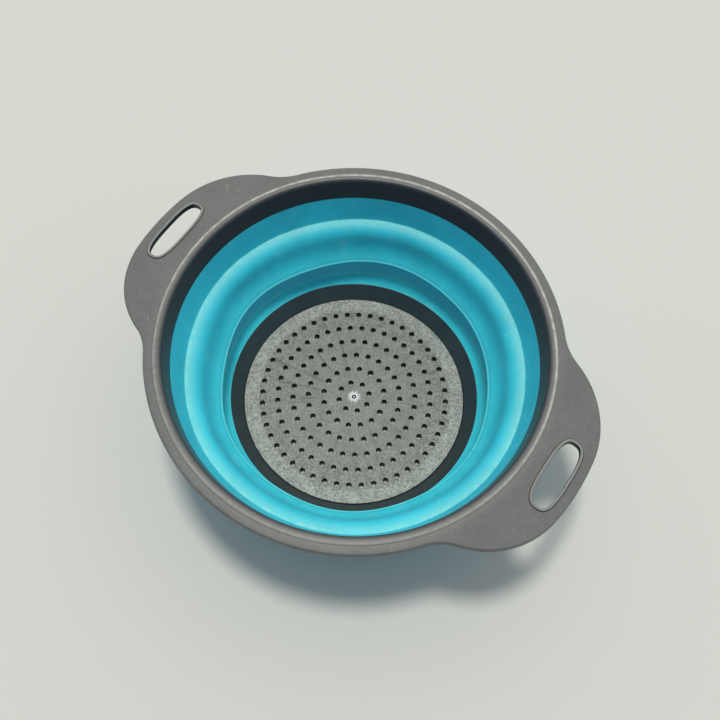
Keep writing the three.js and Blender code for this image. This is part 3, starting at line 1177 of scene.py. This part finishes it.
@dataclass
class StrainerPlate:
    """The round plate with its rings of holes and the mark of its moulding gate."""

    sizes: BowlSizes
    hole_rings: int = 6
    holes_per_ring: int = 8
    hole_pitch: float = 9.9
    hole_radius: float = 1.76
    wide_hole_radius: float = 1.98
    wide_ring: int = 2
    wide_holes: int = 4
    hole_turn_deg: float = 1.9
    hole_edge: float = 0.16
    rim_edge: float = 0.55
    hole_sides: int = 20
    edge_points: int = 300
    gate_radius: float = 2.0
    gate_points: int = 32

    def hole_places(self) -> tuple[np.ndarray, np.ndarray]:
        """Works out the holes.

        Ring k has k times as many holes as the first, evenly round from near the X axis.

        Returns:
            Centres in plan, and radii.
        """
        counts = self.holes_per_ring * np.arange(1, self.hole_rings + 1)
        ring = np.repeat(np.arange(1, self.hole_rings + 1), counts)
        number = np.concatenate([np.arange(count) for count in counts])
        angle = 2.0 * np.pi * number / (ring * self.holes_per_ring) + math.radians(self.hole_turn_deg)
        centres = self.hole_pitch * ring[:, None] * np.stack([np.cos(angle), np.sin(angle)], axis=1)
        spread = self.wide_ring * self.holes_per_ring // self.wide_holes
        wide = (ring == self.wide_ring) & (number % spread == 0)
        return centres, np.where(wide, self.wide_hole_radius, self.hole_radius)

    def edge_profile(self) -> np.ndarray:
        """Outlines the plate's edge from the top fill to the bottom fill.

        Returns:
            Radius and height of each point.
        """
        radius, low, high = self.sizes.plate_radius, self.sizes.plate_bottom, self.sizes.plate_top
        flat = 3.0 * self.rim_edge
        return rounded([
            (radius - flat, high, 0.0),
            (radius, high, self.rim_edge),
            (radius, low, self.rim_edge),
            (radius - flat, low, 0.0),
        ], closed=False)

    def hole_profile(self) -> np.ndarray:
        """Outlines a hole's wall from the top fill to the bottom fill.

        Returns:
            Added radius, and height, of each point.
        """
        low, high, edge = self.sizes.plate_bottom, self.sizes.plate_top, self.hole_edge
        return rounded([
            (2.5 * edge, high, 0.0),
            (0.0, high, edge),
            (0.0, low, 0.0),
        ], closed=False, steps=3, spacing=self.sizes.plate_top, guard=0.05)

    def gate_profile(self) -> np.ndarray:
        """Outlines the gate's crater and nub from the top fill to just off the axis.

        Returns:
            Radius and height of each point.
        """
        high = self.sizes.plate_top
        return rounded([
            (self.gate_radius, high, 0.0),
            (1.5, high + 0.02, 0.3),
            (1.25, high - 0.45, 0.2),
            (0.75, high - 0.4, 0.15),
            (0.5, high + 0.1, 0.2),
            (0.02, high + 0.15, 0.0),
        ], closed=False, steps=4, spacing=0.4, guard=0.04)

    def build(self, finish: PlateFinish, effects: Effects) -> bpy.types.Object:
        """Makes the plate.

        Args:
            finish: Its finish.
            effects: The shared groups.

        Returns:
            The piece.
        """
        surface = SurfaceMesh()
        edge = surface.add_points(turned(self.edge_profile(), self.edge_points))
        surface.add_strip(edge, flip=True)
        gate = surface.add_points(turned(self.gate_profile(), self.gate_points))
        surface.add_strip(gate)
        surface.add_faces(gate[-1][None])
        centres, radii = self.hole_places()
        profile = self.hole_profile()
        angle = np.linspace(0.0, 2.0 * np.pi, self.hole_sides, endpoint=False)
        ring = np.stack([np.cos(angle), np.sin(angle)], axis=1)
        reach = radii[:, None] + profile[None, :, 0]
        plan = centres[:, None, None] + reach[:, :, None, None] * ring
        height = np.broadcast_to(profile[None, :, None, 1:], (*plan.shape[:3], 1))
        holes = surface.add_points(np.concatenate([plan, height], axis=3))
        surface.add_strip(np.moveaxis(holes, 1, 0))
        surface.add_fill([edge[0], gate[0], *holes[:, 0]], facing_up=True)
        surface.add_fill([edge[-1], *holes[:, -1]], facing_up=False)
        piece = surface.to_object("strainer_plate_moulding")
        place_piece(piece, finish.material(effects, self.sizes), FinishSlot.PLATE, "strainer_plate")
        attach(piece, Body.BASE.value)
        return piece


@dataclass
class BaseRing:
    """The ring under the soft wall: foot, seat, sloped wall and flange."""

    sizes: BowlSizes
    foot_height: float = 2.0
    foot_width: float = 3.4
    foot_setback: float = 0.8
    seat_width: float = 5.2
    seat_top: float = 3.4
    plate_gap: float = 0.3
    plate_step: float = 0.6
    wall_thickness: float = 3.0
    flange_thickness: float = 2.4
    notch_count: int = 4
    notch_width: float = 16.0
    notch_height: float = 1.2
    notch_draft: float = 0.8
    segments: int = 720

    def profile(self) -> np.ndarray:
        """Outlines the ring, anticlockwise.

        Returns:
            Radius and height of each point of the closed outline.
        """
        sizes = self.sizes
        top_radius, top = sizes.base_top
        foot_outer = sizes.plate_radius - self.foot_setback
        foot_inner = foot_outer - self.foot_width
        seat_inner = sizes.plate_radius - self.seat_width
        wall_inner = sizes.plate_radius + self.plate_gap
        under = top - self.flange_thickness
        slope_run = self.flange_thickness * sizes.base_wall_run / sizes.base_wall_rise
        return rounded([
            (seat_inner, self.foot_height, 0.4),
            (foot_inner, self.foot_height, 0.5),
            (foot_inner, 0.0, 0.6),
            (foot_outer, 0.0, 0.6),
            (foot_outer, self.foot_height, 0.5),
            (top_radius - slope_run + self.wall_thickness, under, 1.5),
            (top_radius + sizes.root_width, under, 0.5),
            (top_radius + sizes.root_width, top, 0.3),
            (top_radius, top, 0.35),
            (wall_inner, sizes.plate_top - self.plate_step, 0.5),
            (wall_inner, self.seat_top, 0.2),
            (seat_inner, self.seat_top, 0.4),
        ], closed=True, steps=5)

    def build(self, finish: BaseFinish, effects: Effects) -> bpy.types.Object:
        """Makes the ring, with notches that lift the foot's lower edge so that water runs out.

        A notch is 1 within its half width and falls to 0 over its draft. It lifts a point of the foot by
        the notch's height times the point's share of the way down the foot.

        Args:
            finish: Its finish.
            effects: The shared groups.

        Returns:
            The piece.
        """
        points = turned(self.profile(), self.segments)
        angle = np.linspace(0.0, 2.0 * np.pi, self.segments, endpoint=False)
        pitch = 2.0 * np.pi / self.notch_count
        off_centre = np.abs((angle % pitch) - 0.5 * pitch) * self.sizes.plate_radius
        reach = 0.5 * self.notch_width + self.notch_draft
        notch = np.clip((reach - off_centre) / self.notch_draft, 0.0, 1.0)
        foot_share = np.clip(1.0 - points[:, :, 2] / self.foot_height, 0.0, 1.0)
        points[:, :, 2] += self.notch_height * notch * foot_share
        surface = SurfaceMesh()
        surface.add_strip(surface.add_points(points), close=True)
        piece = surface.to_object("base_ring_moulding")
        place_piece(piece, finish.material(effects), FinishSlot.BASE, "base_ring")
        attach(piece, Body.BASE.value)
        return piece


@dataclass(frozen=True)
class Ripple:
    """One wave round the soft wall: number of crests, their height in millimetres and where they start.

    A wave without crests moves the wall by its height all round.
    """

    count: int
    height: float
    phase_deg: float


@dataclass
class SoftWall:
    """The soft wall in its three stretches: a lower band, the fold and an upper band."""

    sizes: BowlSizes
    fold_thickness: float = 1.7
    fold_top_slope_deg: float = 5.0
    fold_end_slope_deg: float = 37.0
    fold_lead: float = 14.8
    fold_steps: int = 40
    lip: float = 1.2
    crest_round: float = 0.5
    fillet_run: float = 5.4
    fillet_rise: float = 10.7
    fillet_steps: int = 32
    segments: int = 360
    ripple_skew: float = 0.75
    ripples: tuple[Ripple, ...] = (
        Ripple(0, -0.54, 0.0),
        Ripple(1, 0.41, -37.0),
        Ripple(2, 0.34, 133.0),
        Ripple(3, 0.23, 17.0),
        Ripple(4, 0.42, 14.0),
        Ripple(5, 0.37, -154.0),
        Ripple(6, 0.57, 16.0),
    )

    def waved(self, points: np.ndarray) -> np.ndarray:
        """Makes the wall a little uneven, as soft rubber is.

        The radius gains the sum of the ripples, each its height times the cosine of its count times the
        angle plus its phase. The sum fades with the squared sine of the skewed share of the wall's height,
        so it is largest near the lower crest and both ends stay round.

        Args:
            points: X, Y and Z in the last axis.

        Returns:
            The moved points.
        """
        low, high = self.sizes.base_top[1], self.sizes.rim_foot[1]
        angle = np.arctan2(points[..., 1], points[..., 0])
        share = np.clip((points[..., 2] - low) / (high - low), 0.0, 1.0) ** self.ripple_skew
        waves = sum(ripple.height * np.cos(ripple.count * angle + math.radians(ripple.phase_deg))
                    for ripple in self.ripples)
        growth = waves * np.sin(np.pi * share) ** 2
        radius = np.hypot(points[..., 0], points[..., 1])
        moved = points.copy()
        moved[..., :2] *= (1.0 + growth / radius)[..., None]
        return moved

    @property
    def fold_end(self) -> np.ndarray:
        """Where the fold meets the lip of the lower band's crest, as radius and height."""
        slope = math.radians(self.fold_end_slope_deg)
        return self.sizes.lower_crease + self.lip * np.array([math.cos(slope), math.sin(slope)])

    def fillet(self) -> np.ndarray:
        """Works out the inside of the lower band's foot, from the top down.

        It is a quadratic Bezier curve that starts upright and runs out onto the base ring's inner edge.

        Returns:
            Radius and height of each point.
        """
        foot = self.sizes.base_top + (0.0, self.sizes.joint_gap)
        top = foot + (self.fillet_run, self.fillet_rise)
        turn = foot + (self.fillet_run, self.fillet_rise / 3.0)
        t = np.linspace(0.0, 1.0, self.fillet_steps + 1)[:, None]
        return (1 - t) ** 2 * top + 2 * (1 - t) * t * turn + t ** 2 * foot

    def lower_profile(self) -> np.ndarray:
        """Outlines the lower band, anticlockwise.

        Returns:
            Radius and height of each point of the closed outline.
        """
        sizes = self.sizes
        foot_radius, foot = sizes.base_top + (0.0, sizes.joint_gap)
        crest_radius, crest = sizes.lower_crease
        lip_radius, lip_top = self.fold_end
        slope = math.radians(self.fold_end_slope_deg)
        under_radius = lip_radius + sizes.hinge_thickness * math.sin(slope)
        under = lip_top - sizes.hinge_thickness * math.cos(slope)
        outer = crest_radius + sizes.band_thickness
        return rounded([
            (foot_radius, foot, 0.25),
            (foot_radius + sizes.root_width, foot, 0.4),
            (foot_radius + sizes.root_width, foot + sizes.root_height, 3.0),
            (foot_radius + self.fillet_run + sizes.band_thickness, foot + self.fillet_rise, 6.0),
            (outer, crest - 3.0 * sizes.hinge_thickness, 2.0),
            (outer - 0.4, under - 0.6, 0.6),
            (under_radius, under, 0.0),
            (lip_radius, lip_top, 0.0),
            (crest_radius, crest, self.crest_round),
            *((radius, height, 0.0) for radius, height in self.fillet()[:-1]),
        ], closed=True)

    def upper_profile(self) -> np.ndarray:
        """Outlines the upper band, anticlockwise.

        Returns:
            Radius and height of each point of the closed outline.
        """
        sizes = self.sizes
        crease_radius, crease = sizes.upper_crease
        root_radius, root = sizes.rim_foot - (0.0, sizes.joint_gap)
        taper = root - 2.0 * sizes.root_height
        share = (taper - crease) / (root - crease)
        return rounded([
            (crease_radius, crease - sizes.hinge_thickness, 0.0),
            (crease_radius + sizes.band_thickness, crease - sizes.hinge_thickness, 1.2),
            (crease_radius + share * sizes.upper_band_run + sizes.band_thickness, taper, 4.0),
            (root_radius + sizes.root_width, root - sizes.root_height, 2.0),
            (root_radius + sizes.root_width, root, 0.4),
            (root_radius, root, 0.25),
            (crease_radius, crease, 0.0),
        ], closed=True)

    def fold_profile(self) -> np.ndarray:
        """Outlines the fold, anticlockwise.

        Its inside is a cubic Bezier curve that runs nearly level out of the upper crease, falls steeply and
        flattens towards the lower crest. Its outside lies along the inside's normals, a hinge's thickness
        away at both ends and the fold's between.

        Returns:
            Radius and height of each point of the closed outline.
        """
        sizes = self.sizes
        first, last = math.radians(self.fold_top_slope_deg), math.radians(self.fold_end_slope_deg)
        top, end = sizes.upper_crease, self.fold_end
        lead_in = top - self.fold_lead * np.array([math.cos(first), math.sin(first)])
        lead_out = end + self.fold_lead * np.array([math.cos(last), math.sin(last)])
        near_end = 0.004
        swell_rate = 6.0
        t = np.concatenate([[0.0], np.linspace(near_end, 1.0 - near_end, self.fold_steps), [1.0]])[:, None]
        inside = ((1 - t) ** 3 * top + 3 * (1 - t) ** 2 * t * lead_in
                  + 3 * (1 - t) * t ** 2 * lead_out + t ** 3 * end)
        along = ((1 - t) ** 2 * (lead_in - top) + 2 * (1 - t) * t * (lead_out - lead_in)
                 + t ** 2 * (end - lead_out))
        along /= np.linalg.norm(along, axis=1, keepdims=True)
        outward = np.stack([-along[:, 1], along[:, 0]], axis=1)
        swell = np.clip(swell_rate * np.minimum(t, 1.0 - t), 0.0, 1.0)
        thickness = sizes.hinge_thickness + (self.fold_thickness - sizes.hinge_thickness) * swell
        return np.concatenate([inside, (inside + thickness * outward)[::-1]])

    def stretch(self, name: str, profile: np.ndarray) -> bpy.types.Object:
        """Turns one stretch's outline about the axis.

        Each point keeps its radius without ripples as an attribute, so that the painted shade and
        highlights follow the rippled crest.

        Args:
            name: The piece's name.
            profile: Its closed outline.

        Returns:
            The piece.
        """
        points = turned(profile, self.segments)
        surface = SurfaceMesh(PLAIN_RADIUS)
        ids = surface.add_points(self.waved(points), np.hypot(points[..., 0], points[..., 1]))
        surface.add_strip(ids, close=True)
        return surface.to_object(name)

    def build(self, finish: SoftFinish, effects: Effects) -> list[bpy.types.Object]:
        """Makes the three stretches.

        Args:
            finish: Their finish.
            effects: The shared groups.

        Returns:
            The lower band, the fold and the upper band.
        """
        material = finish.material(effects, self.sizes)
        lower = self.stretch("wall_lower_stretch", self.lower_profile())
        fold = self.stretch("wall_fold_stretch", self.fold_profile())
        upper = self.stretch("wall_upper_stretch", self.upper_profile())
        place_piece(lower, material, FinishSlot.WALL, "wall_lower_band")
        place_piece(fold, material, FinishSlot.WALL, "wall_fold")
        place_piece(upper, material, FinishSlot.WALL, "wall_upper_band")
        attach(lower, Body.BASE.value)
        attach(upper, Body.RIM.value)
        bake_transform(fold)
        return [lower, fold, upper]


@dataclass
class Rim:
    """The stiff rim with its bead, flange, skirt, ear handles and slots.

    The margins are how far the strips along its edges reach onto the flange, and the clearances how far
    the points of the fills between them stay from the skirt and the collars.
    """

    sizes: BowlSizes
    wall_thickness: float = 2.2
    bead_height: float = 0.2
    bead_width: float = 1.4
    flange_width: float = 6.1
    flange_thickness: float = 2.4
    droop: float = 0.21
    droop_start: float = 2.9
    droop_ease: float = 2.6
    skirt_width: float = 1.8
    skirt_depth: float = 4.6
    ear_length: float = 26.3
    ear_tip_half_angle_deg: float = 7.65
    ear_corner_radius: float = 54.0
    ear_root_radius: float = 30.5
    slot_length: float = 42.0
    slot_width: float = 13.4
    slot_power: float = 3.0
    slot_from_tip: float = 14.4
    collar_width: float = 1.6
    collar_height: float = 0.8
    collar_depth: float = 3.7
    # How dark the painted shade line along each collar's outer foot is, and how pale its top is painted as
    # rubbing and painted highlight.
    collar_shade_line: float = 0.85
    collar_rub_and_highlight: float = 0.28
    collar_draft: float = 0.1
    ring_margin: float = 0.8
    edge_margin: float = 1.9
    collar_margin: float = 1.2
    lower_margin: float = 0.9
    edge_clearance: float = 1.8
    collar_clearance: float = 2.0
    fill_spacing: float = 2.2
    turn_points: int = 360
    outline_points: int = 720
    slot_points: int = 132
    slot_fine_points: int = 4001

    @property
    def radius(self) -> float:
        """Outer radius of the rim between the ears."""
        return float(self.sizes.crest[0]) + self.flange_width

    @property
    def flange_top(self) -> float:
        """Height of the flange's top."""
        return float(self.sizes.crest[1]) - self.bead_height

    @property
    def flange_bottom(self) -> float:
        """Height of the flange's underside."""
        return self.flange_top - self.flange_thickness

    @property
    def skirt_bottom(self) -> float:
        """Height of the skirt's lower edge."""
        return self.flange_top - self.skirt_depth

    def outline(self) -> tuple[np.ndarray, np.ndarray]:
        """Works out the rim's outline in plan, evenly spaced.

        Half an ear, from its tip to the middle of the plain rim, is four tangent arcs: the tip about the
        bowl's axis, a corner, a hollow root and the rim. Their lengths give each point's arc and place on
        it. The other three quarters are mirror images.

        Returns:
            Points, and normals that point out.
        """
        reach = self.radius + self.ear_length
        tip = math.radians(self.ear_tip_half_angle_deg)
        corner_distance = reach - self.ear_corner_radius
        root_distance = self.radius + self.ear_root_radius
        between = self.ear_corner_radius + self.ear_root_radius
        spread = math.acos((root_distance ** 2 + corner_distance ** 2 - between ** 2)
                           / (2.0 * root_distance * corner_distance))
        root = tip + spread
        corner_centre = corner_distance * np.array([math.cos(tip), math.sin(tip)])
        root_centre = root_distance * np.array([math.cos(root), math.sin(root)])
        meeting = math.atan2(*(root_centre - corner_centre)[::-1])
        centres = np.array([(0.0, 0.0), corner_centre, root_centre, (0.0, 0.0)])
        radii = np.array([reach, self.ear_corner_radius, self.ear_root_radius, self.radius])
        starts = np.array([0.0, tip, meeting + math.pi, root])
        ends = np.array([tip, meeting, root + math.pi, 0.5 * math.pi])
        outward = np.array([1.0, 1.0, -1.0, 1.0])
        lengths = np.abs(ends - starts) * radii
        bounds = np.concatenate([[0.0], np.cumsum(lengths)])
        count = self.outline_points // 4
        travelled = bounds[-1] * np.arange(count + 1) / count
        arc = np.clip(np.searchsorted(bounds, travelled, side="right") - 1, 0, 3)
        share = (travelled - bounds[arc]) / lengths[arc]
        angle = starts[arc] + share * (ends[arc] - starts[arc])
        ray = np.stack([np.cos(angle), np.sin(angle)], axis=1)
        points = centres[arc] + radii[arc, None] * ray
        normals = outward[arc, None] * ray

        def whole(quarter: np.ndarray) -> np.ndarray:
            """Mirrors a quarter of the outline into the whole of it."""
            half = np.concatenate([quarter, quarter[-2::-1] * (-1.0, 1.0)])
            return np.concatenate([half[:-1], -half[:-1]])

        return whole(points), whole(normals)

    def slot_path(self, ear: int) -> tuple[np.ndarray, np.ndarray]:
        """Works out a slot's edge in plan, evenly spaced: an ellipse whose squares are a higher power.

        Args:
            ear: +1 or -1, the end of the X axis that the ear is on.

        Returns:
            Points, and normals that point away from the slot.
        """
        fine = np.linspace(0.0, 2.0 * np.pi, self.slot_fine_points)
        cos, sin = np.cos(fine), np.sin(fine)
        bend = 2.0 / self.slot_power
        dense = 0.5 * np.stack([self.slot_width * np.sign(cos) * np.abs(cos) ** bend,
                                self.slot_length * np.sign(sin) * np.abs(sin) ** bend], axis=1)
        steps = np.concatenate([[0.0], np.cumsum(np.linalg.norm(np.diff(dense, axis=0), axis=1))])
        spaced = steps[-1] * np.arange(self.slot_points) / self.slot_points
        path = np.stack([np.interp(spaced, steps, dense[:, axis]) for axis in range(2)], axis=1)
        along = np.roll(path, -1, axis=0) - np.roll(path, 1, axis=0)
        normals = np.stack([along[:, 1], -along[:, 0]], axis=1)
        normals /= np.linalg.norm(normals, axis=1, keepdims=True)
        return path + (ear * (self.radius + self.ear_length - self.slot_from_tip), 0.0), normals

    def ring_profile(self) -> np.ndarray:
        """Outlines bead, crest, inner wall and underside, from the top fill to the lower fill.

        Returns:
            Radius and height of each point.
        """
        sizes = self.sizes
        foot_radius, foot = sizes.rim_foot
        crest_radius, crest = sizes.crest
        corner = foot_radius + (crest - foot) * sizes.rim_wall_run / sizes.rim_wall_rise
        wall_foot_top = foot + sizes.root_height
        foot_share = sizes.root_height / sizes.rim_wall_rise
        shoulder = foot_radius + sizes.rim_wall_run
        strip_end = crest_radius + self.bead_width + self.ring_margin
        return rounded([
            (strip_end, self.flange_top, 0.0),
            (crest_radius + self.bead_width, self.flange_top, 1.7),
            (crest_radius + 0.5, crest, 3.5),
            (corner, crest, sizes.crest_radius),
            (foot_radius, foot, 0.3),
            (foot_radius + sizes.root_width, foot, 0.4),
            (foot_radius + sizes.root_width, wall_foot_top - 0.5 * self.wall_thickness, 0.5),
            (foot_radius + foot_share * sizes.rim_wall_run + self.wall_thickness, wall_foot_top, 1.2),
            (shoulder + self.wall_thickness, self.flange_bottom - self.wall_thickness, 2.0),
            (crest_radius, self.flange_bottom, 1.2),
            (strip_end, self.flange_bottom, 0.0),
        ], closed=False)

    def edge_profile(self) -> np.ndarray:
        """Outlines the outer edge and skirt, from the top fill to the lower fill.

        Returns:
            Offset from the rim's outline, and height, of each point.
        """
        return rounded([
            (-self.edge_margin, self.flange_top, 0.0),
            (0.0, self.flange_top, 1.3),
            (0.0, self.skirt_bottom, 0.6),
            (-self.skirt_width, self.skirt_bottom, 0.6),
            (-self.skirt_width, self.flange_bottom, 0.5),
            (-self.skirt_width - self.lower_margin, self.flange_bottom, 0.0),
        ], closed=False)

    def collar_profile(self) -> np.ndarray:
        """Outlines a slot's collar, from the top fill to the lower fill.

        Returns:
            Offset from the slot's edge, and height, of each point.
        """
        collar_top = self.flange_top + self.collar_height
        collar_bottom = self.flange_top - self.collar_depth
        return rounded([
            (self.collar_width + self.collar_margin, self.flange_top, 0.0),
            (self.collar_width + 0.5 * self.collar_margin, self.flange_top, 0.0),
            (self.collar_width + self.collar_draft, self.flange_top, 0.15),
            (self.collar_width - self.collar_draft, collar_top, 0.45),
            (0.0, collar_top, 0.6),
            (0.0, collar_bottom, 0.4),
            (self.collar_width, collar_bottom, 0.2),
            (self.collar_width, self.flange_bottom, 0.2),
            (self.collar_width + self.lower_margin, self.flange_bottom, 0.0),
        ], closed=False)

    def collar_wear_and_shade(self) -> np.ndarray:
        """Tells how each row of a slot's collar is painted: above 0 pale, as rubbing and painted highlight,
        below
        0 dark, as painted shade.

        The collar's top is rubbed and carries a painted highlight, its wall inside the slot is painted dark
        all the way down as painted shade, and a thin line of painted shade lies along its outer foot.

        Returns:
            The wear of each row of the collar's outline.
        """
        pale_top_depth, top_depth = 0.25, 0.5
        dark_from, dark_over = 0.3, 0.3
        line_reach = 0.3
        offset, height = self.collar_profile().T
        below = self.flange_top + self.collar_height - height
        dark = -np.clip((below - dark_from) / dark_over, 0.0, 1.0)
        wall = np.where(offset < 0.5 * self.collar_width, dark, 0.0)
        off_foot = np.abs(offset - self.collar_width - self.collar_draft)
        foot = np.where(off_foot < line_reach, -self.collar_shade_line, 0.0)
        rub_and_highlight = np.where(below < pale_top_depth, self.collar_rub_and_highlight, 0.0)
        return np.where(below > top_depth, np.minimum(wall, foot), rub_and_highlight + wall)

    def drop(self, points: np.ndarray) -> np.ndarray:
        """Works out how far the flange and ears slope down.

        The slope grows evenly from nothing over the ease's width on both sides of its start, so the drop
        there is half the slope times the squared way into the ease over its whole width.

        Args:
            points: X, Y and Z in the last axis.

        Returns:
            The drop at each point.
        """
        beyond = np.hypot(points[..., 0], points[..., 1]) - float(self.sizes.crest[0]) - self.droop_start
        eased = np.clip(beyond + self.droop_ease, 0.0, 2.0 * self.droop_ease)
        straight = np.maximum(beyond - self.droop_ease, 0.0)
        return self.droop * (eased ** 2 / (4.0 * self.droop_ease) + straight)

    def between_points(self) -> np.ndarray:
        """Spreads points in plan over the flange and ears, on circles, clear of the edge and the slots.

        Returns:
            X and Y of each point.
        """
        reach = self.radius + self.ear_length
        radius = np.arange(self.radius - 1.5 * self.fill_spacing, reach, self.fill_spacing)
        count = round(2.0 * np.pi * self.radius / self.fill_spacing)
        angle = np.linspace(0.0, 2.0 * np.pi, count, endpoint=False)
        plan = (radius[:, None, None] * np.stack([np.cos(angle), np.sin(angle)], axis=1)).reshape(-1, 2)
        path, outward = self.outline()
        clear = encloses(path - (self.skirt_width + self.edge_clearance) * outward, plan)
        for ear in EARS:
            slot, away = self.slot_path(ear)
            clear &= ~encloses(slot + (self.collar_width + self.collar_clearance) * away, plan)
        return plan[clear]

    def build(self, finish: RimFinish, effects: Effects) -> bpy.types.Object:
        """Makes the rim as strips along its ring, edge and slots, with fills between them, and bends it.

        Args:
            finish: Its finish.
            effects: The shared groups.

        Returns:
            The piece.
        """
        surface = SurfaceMesh(SLOT_EDGE)
        ring = surface.add_points(turned(self.ring_profile(), self.turn_points))
        surface.add_strip(ring)
        edge = surface.add_points(swept(*self.outline(), self.edge_profile()))
        surface.add_strip(edge, flip=True)
        profile, wear_and_shade = self.collar_profile(), self.collar_wear_and_shade()[:, None]
        collars = [surface.add_points(swept(*self.slot_path(ear), profile), wear_and_shade) for ear in EARS]
        for collar in collars:
            surface.add_strip(collar)
        strips = [edge, ring, *collars]
        plan = self.between_points()
        for row, height, facing_up in ((0, self.flange_top, True), (-1, self.flange_bottom, False)):
            between = surface.add_points(np.column_stack([plan, np.full(len(plan), height)]))
            surface.add_fill([strip[row] for strip in strips], facing_up, between)
        surface.bend(self.drop)
        piece = surface.to_object("rim_moulding")
        place_piece(piece, finish.material(effects, self.sizes), FinishSlot.RIM, "rim")
        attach(piece, Body.RIM.value)
        return piece


# Studio


@dataclass(frozen=True)
class Studio:
    """Camera, light and floor. The camera is where the photograph was taken from."""

    turn_deg: float = -33.05
    elevation_deg: float = 65.34
    distance: float = 522.6
    yaw_deg: float = 0.287
    pitch_deg: float = 1.036
    roll_deg: float = -2.088
    focal_px: float = 921.6
    frame_px: float = 720.0
    sensor: float = 36.0
    floor_colour: Colour = srgb(210, 211, 206)
    floor_roughness: float = 0.9
    floor_size: float = 6.0
    lamp_distance: float = 5.0
    lamp_tilt_deg: float = 7.0
    lamp_turn_deg: float = 15.0
    lamp_size: float = 0.9
    lamp_level: float = 0.58
    sky_level: float = 0.49
    sky_tilt: float = 0.46
    sky_turn_deg: float = -18.0
    lamp_tint: Colour = (1.02, 1.0, 0.92, 1.0)
    sky_tint: Colour = (1.0, 0.99, 0.97, 1.0)
    front_tint: Colour = (0.86, 0.95, 1.2, 1.0)
    front: Ramp = Ramp(0.25, -0.5)

    @property
    def to_object_frame(self) -> Matrix:
        """Turn from the photograph's plan, with the camera on its -Y side, to the bowl's own frame."""
        return Matrix.Rotation(math.radians(-self.turn_deg), 3, "Z")

    def add_camera(self, sizes: BowlSizes) -> None:
        """Puts the camera where the photograph was taken from.

        It looks at the crest's centre from the distance at the elevation, and is then turned by yaw, pitch
        and roll about its own axes.

        Args:
            sizes: The bowl's sizes.
        """
        rise = math.radians(self.elevation_deg)
        back = Vector((0.0, -math.cos(rise), math.sin(rise)))
        axes = Matrix(((1.0, 0.0, 0.0), (0.0, math.sin(rise), math.cos(rise)), back))
        turns = (Matrix.Rotation(math.radians(self.roll_deg), 3, "Z")
                 @ Matrix.Rotation(math.radians(self.pitch_deg), 3, "X")
                 @ Matrix.Rotation(math.radians(self.yaw_deg), 3, "Y"))
        facing = self.to_object_frame @ (turns @ axes).transposed()
        place = self.to_object_frame @ (back * self.distance) + Vector((0.0, 0.0, float(sizes.crest[1])))
        lens = bpy.data.cameras.new("photo_camera")
        lens.sensor_width = self.sensor
        lens.lens = self.focal_px * self.sensor / self.frame_px
        lens.clip_start = 0.01
        camera = bpy.data.objects.new("photo_camera", lens)
        camera.matrix_world = Matrix.Translation(place * MM) @ facing.to_4x4()
        bpy.context.scene.collection.objects.link(camera)
        bpy.context.scene.camera = camera

    def add_floor(self) -> None:
        """Lays a plain pale floor at the foot's height."""
        half = 0.5 * self.floor_size
        mesh = bpy.data.meshes.new("floor")
        corners = [(-half, -half, 0.0), (half, -half, 0.0), (half, half, 0.0), (-half, half, 0.0)]
        mesh.from_pydata(corners, [], [(0, 1, 2, 3)])
        material = bpy.data.materials.new("floor_pale")
        material.use_nodes = True
        shader = material.node_tree.nodes["Principled BSDF"]
        shader.inputs["Base Color"].default_value = self.floor_colour
        shader.inputs["Roughness"].default_value = self.floor_roughness
        shader.inputs["Specular IOR Level"].default_value = 0.0
        mesh.materials.append(material)
        floor = bpy.data.objects.new("floor", mesh)
        bpy.context.scene.collection.objects.link(floor)

    def add_lamp(self) -> None:
        """Hangs one large soft lamp overhead, leaning back and by its turn to the left.

        Its power gives the floor its level: level times pi squared times the distance squared.
        """
        lamp = bpy.data.lights.new("overhead", "AREA")
        lamp.shape = "DISK"
        lamp.color = self.lamp_tint[:3]
        lamp.size = self.lamp_size
        tilt = math.radians(self.lamp_tilt_deg)
        aside = Matrix.Rotation(math.radians(self.lamp_turn_deg), 3, "Z")
        leaning = Vector((0.0, math.sin(tilt), math.cos(tilt)))
        place = self.to_object_frame @ aside @ leaning * self.lamp_distance
        lamp.energy = self.lamp_level * math.pi ** 2 * place.length_squared
        overhead = bpy.data.objects.new("overhead", lamp)
        facing = place.to_track_quat("Z", "Y").to_matrix().to_4x4()
        overhead.matrix_world = Matrix.Translation(place) @ facing
        bpy.context.scene.collection.objects.link(overhead)

    def add_sky(self) -> None:
        """Lights the scene from a sky that is brighter behind the bowl and bluer in front of it.

        Its strength is its level plus its tilt times the ray's part that points to its brighter side.
        """
        world = bpy.data.worlds.new("soft_sky")
        world.use_nodes = True
        bpy.context.scene.world = world
        graph = Graph(world.node_tree)
        ray = graph.node("ShaderNodeTexCoord").outputs["Generated"]
        turn = Matrix.Rotation(math.radians(self.sky_turn_deg), 3, "Z")
        behind = self.to_object_frame @ turn @ Vector((0.0, 1.0, 0.0))
        facing = graph.vector_math("DOT_PRODUCT", ray, tuple(behind)).outputs["Value"]
        low, high = self.sky_level - self.sky_tilt, self.sky_level + self.sky_tilt
        strength = graph.mapped(facing, -1.0, 1.0, low, high, smooth=False)
        background = world.node_tree.nodes["Background"]
        tint = graph.mix(self.front.mask(graph, facing), self.sky_tint, self.front_tint)
        graph.feed(background.inputs["Color"], tint)
        graph.feed(background.inputs["Strength"], strength)


def main() -> None:
    """Builds the bowl, its finishes and the studio."""
    logging.basicConfig(level=logging.INFO, format="%(name)s: %(message)s")
    bpy.context.scene.view_settings.view_transform = "Standard"
    sizes = BowlSizes()
    effects = Effects()
    Rim(sizes).build(RimFinish(), effects)
    SoftWall(sizes).build(SoftFinish(), effects)
    BaseRing(sizes).build(BaseFinish(), effects)
    StrainerPlate(sizes).build(PlateFinish(), effects)
    studio = Studio()
    studio.add_camera(sizes)
    studio.add_floor()
    studio.add_lamp()
    studio.add_sky()


if __name__ == "__main__":
    main()
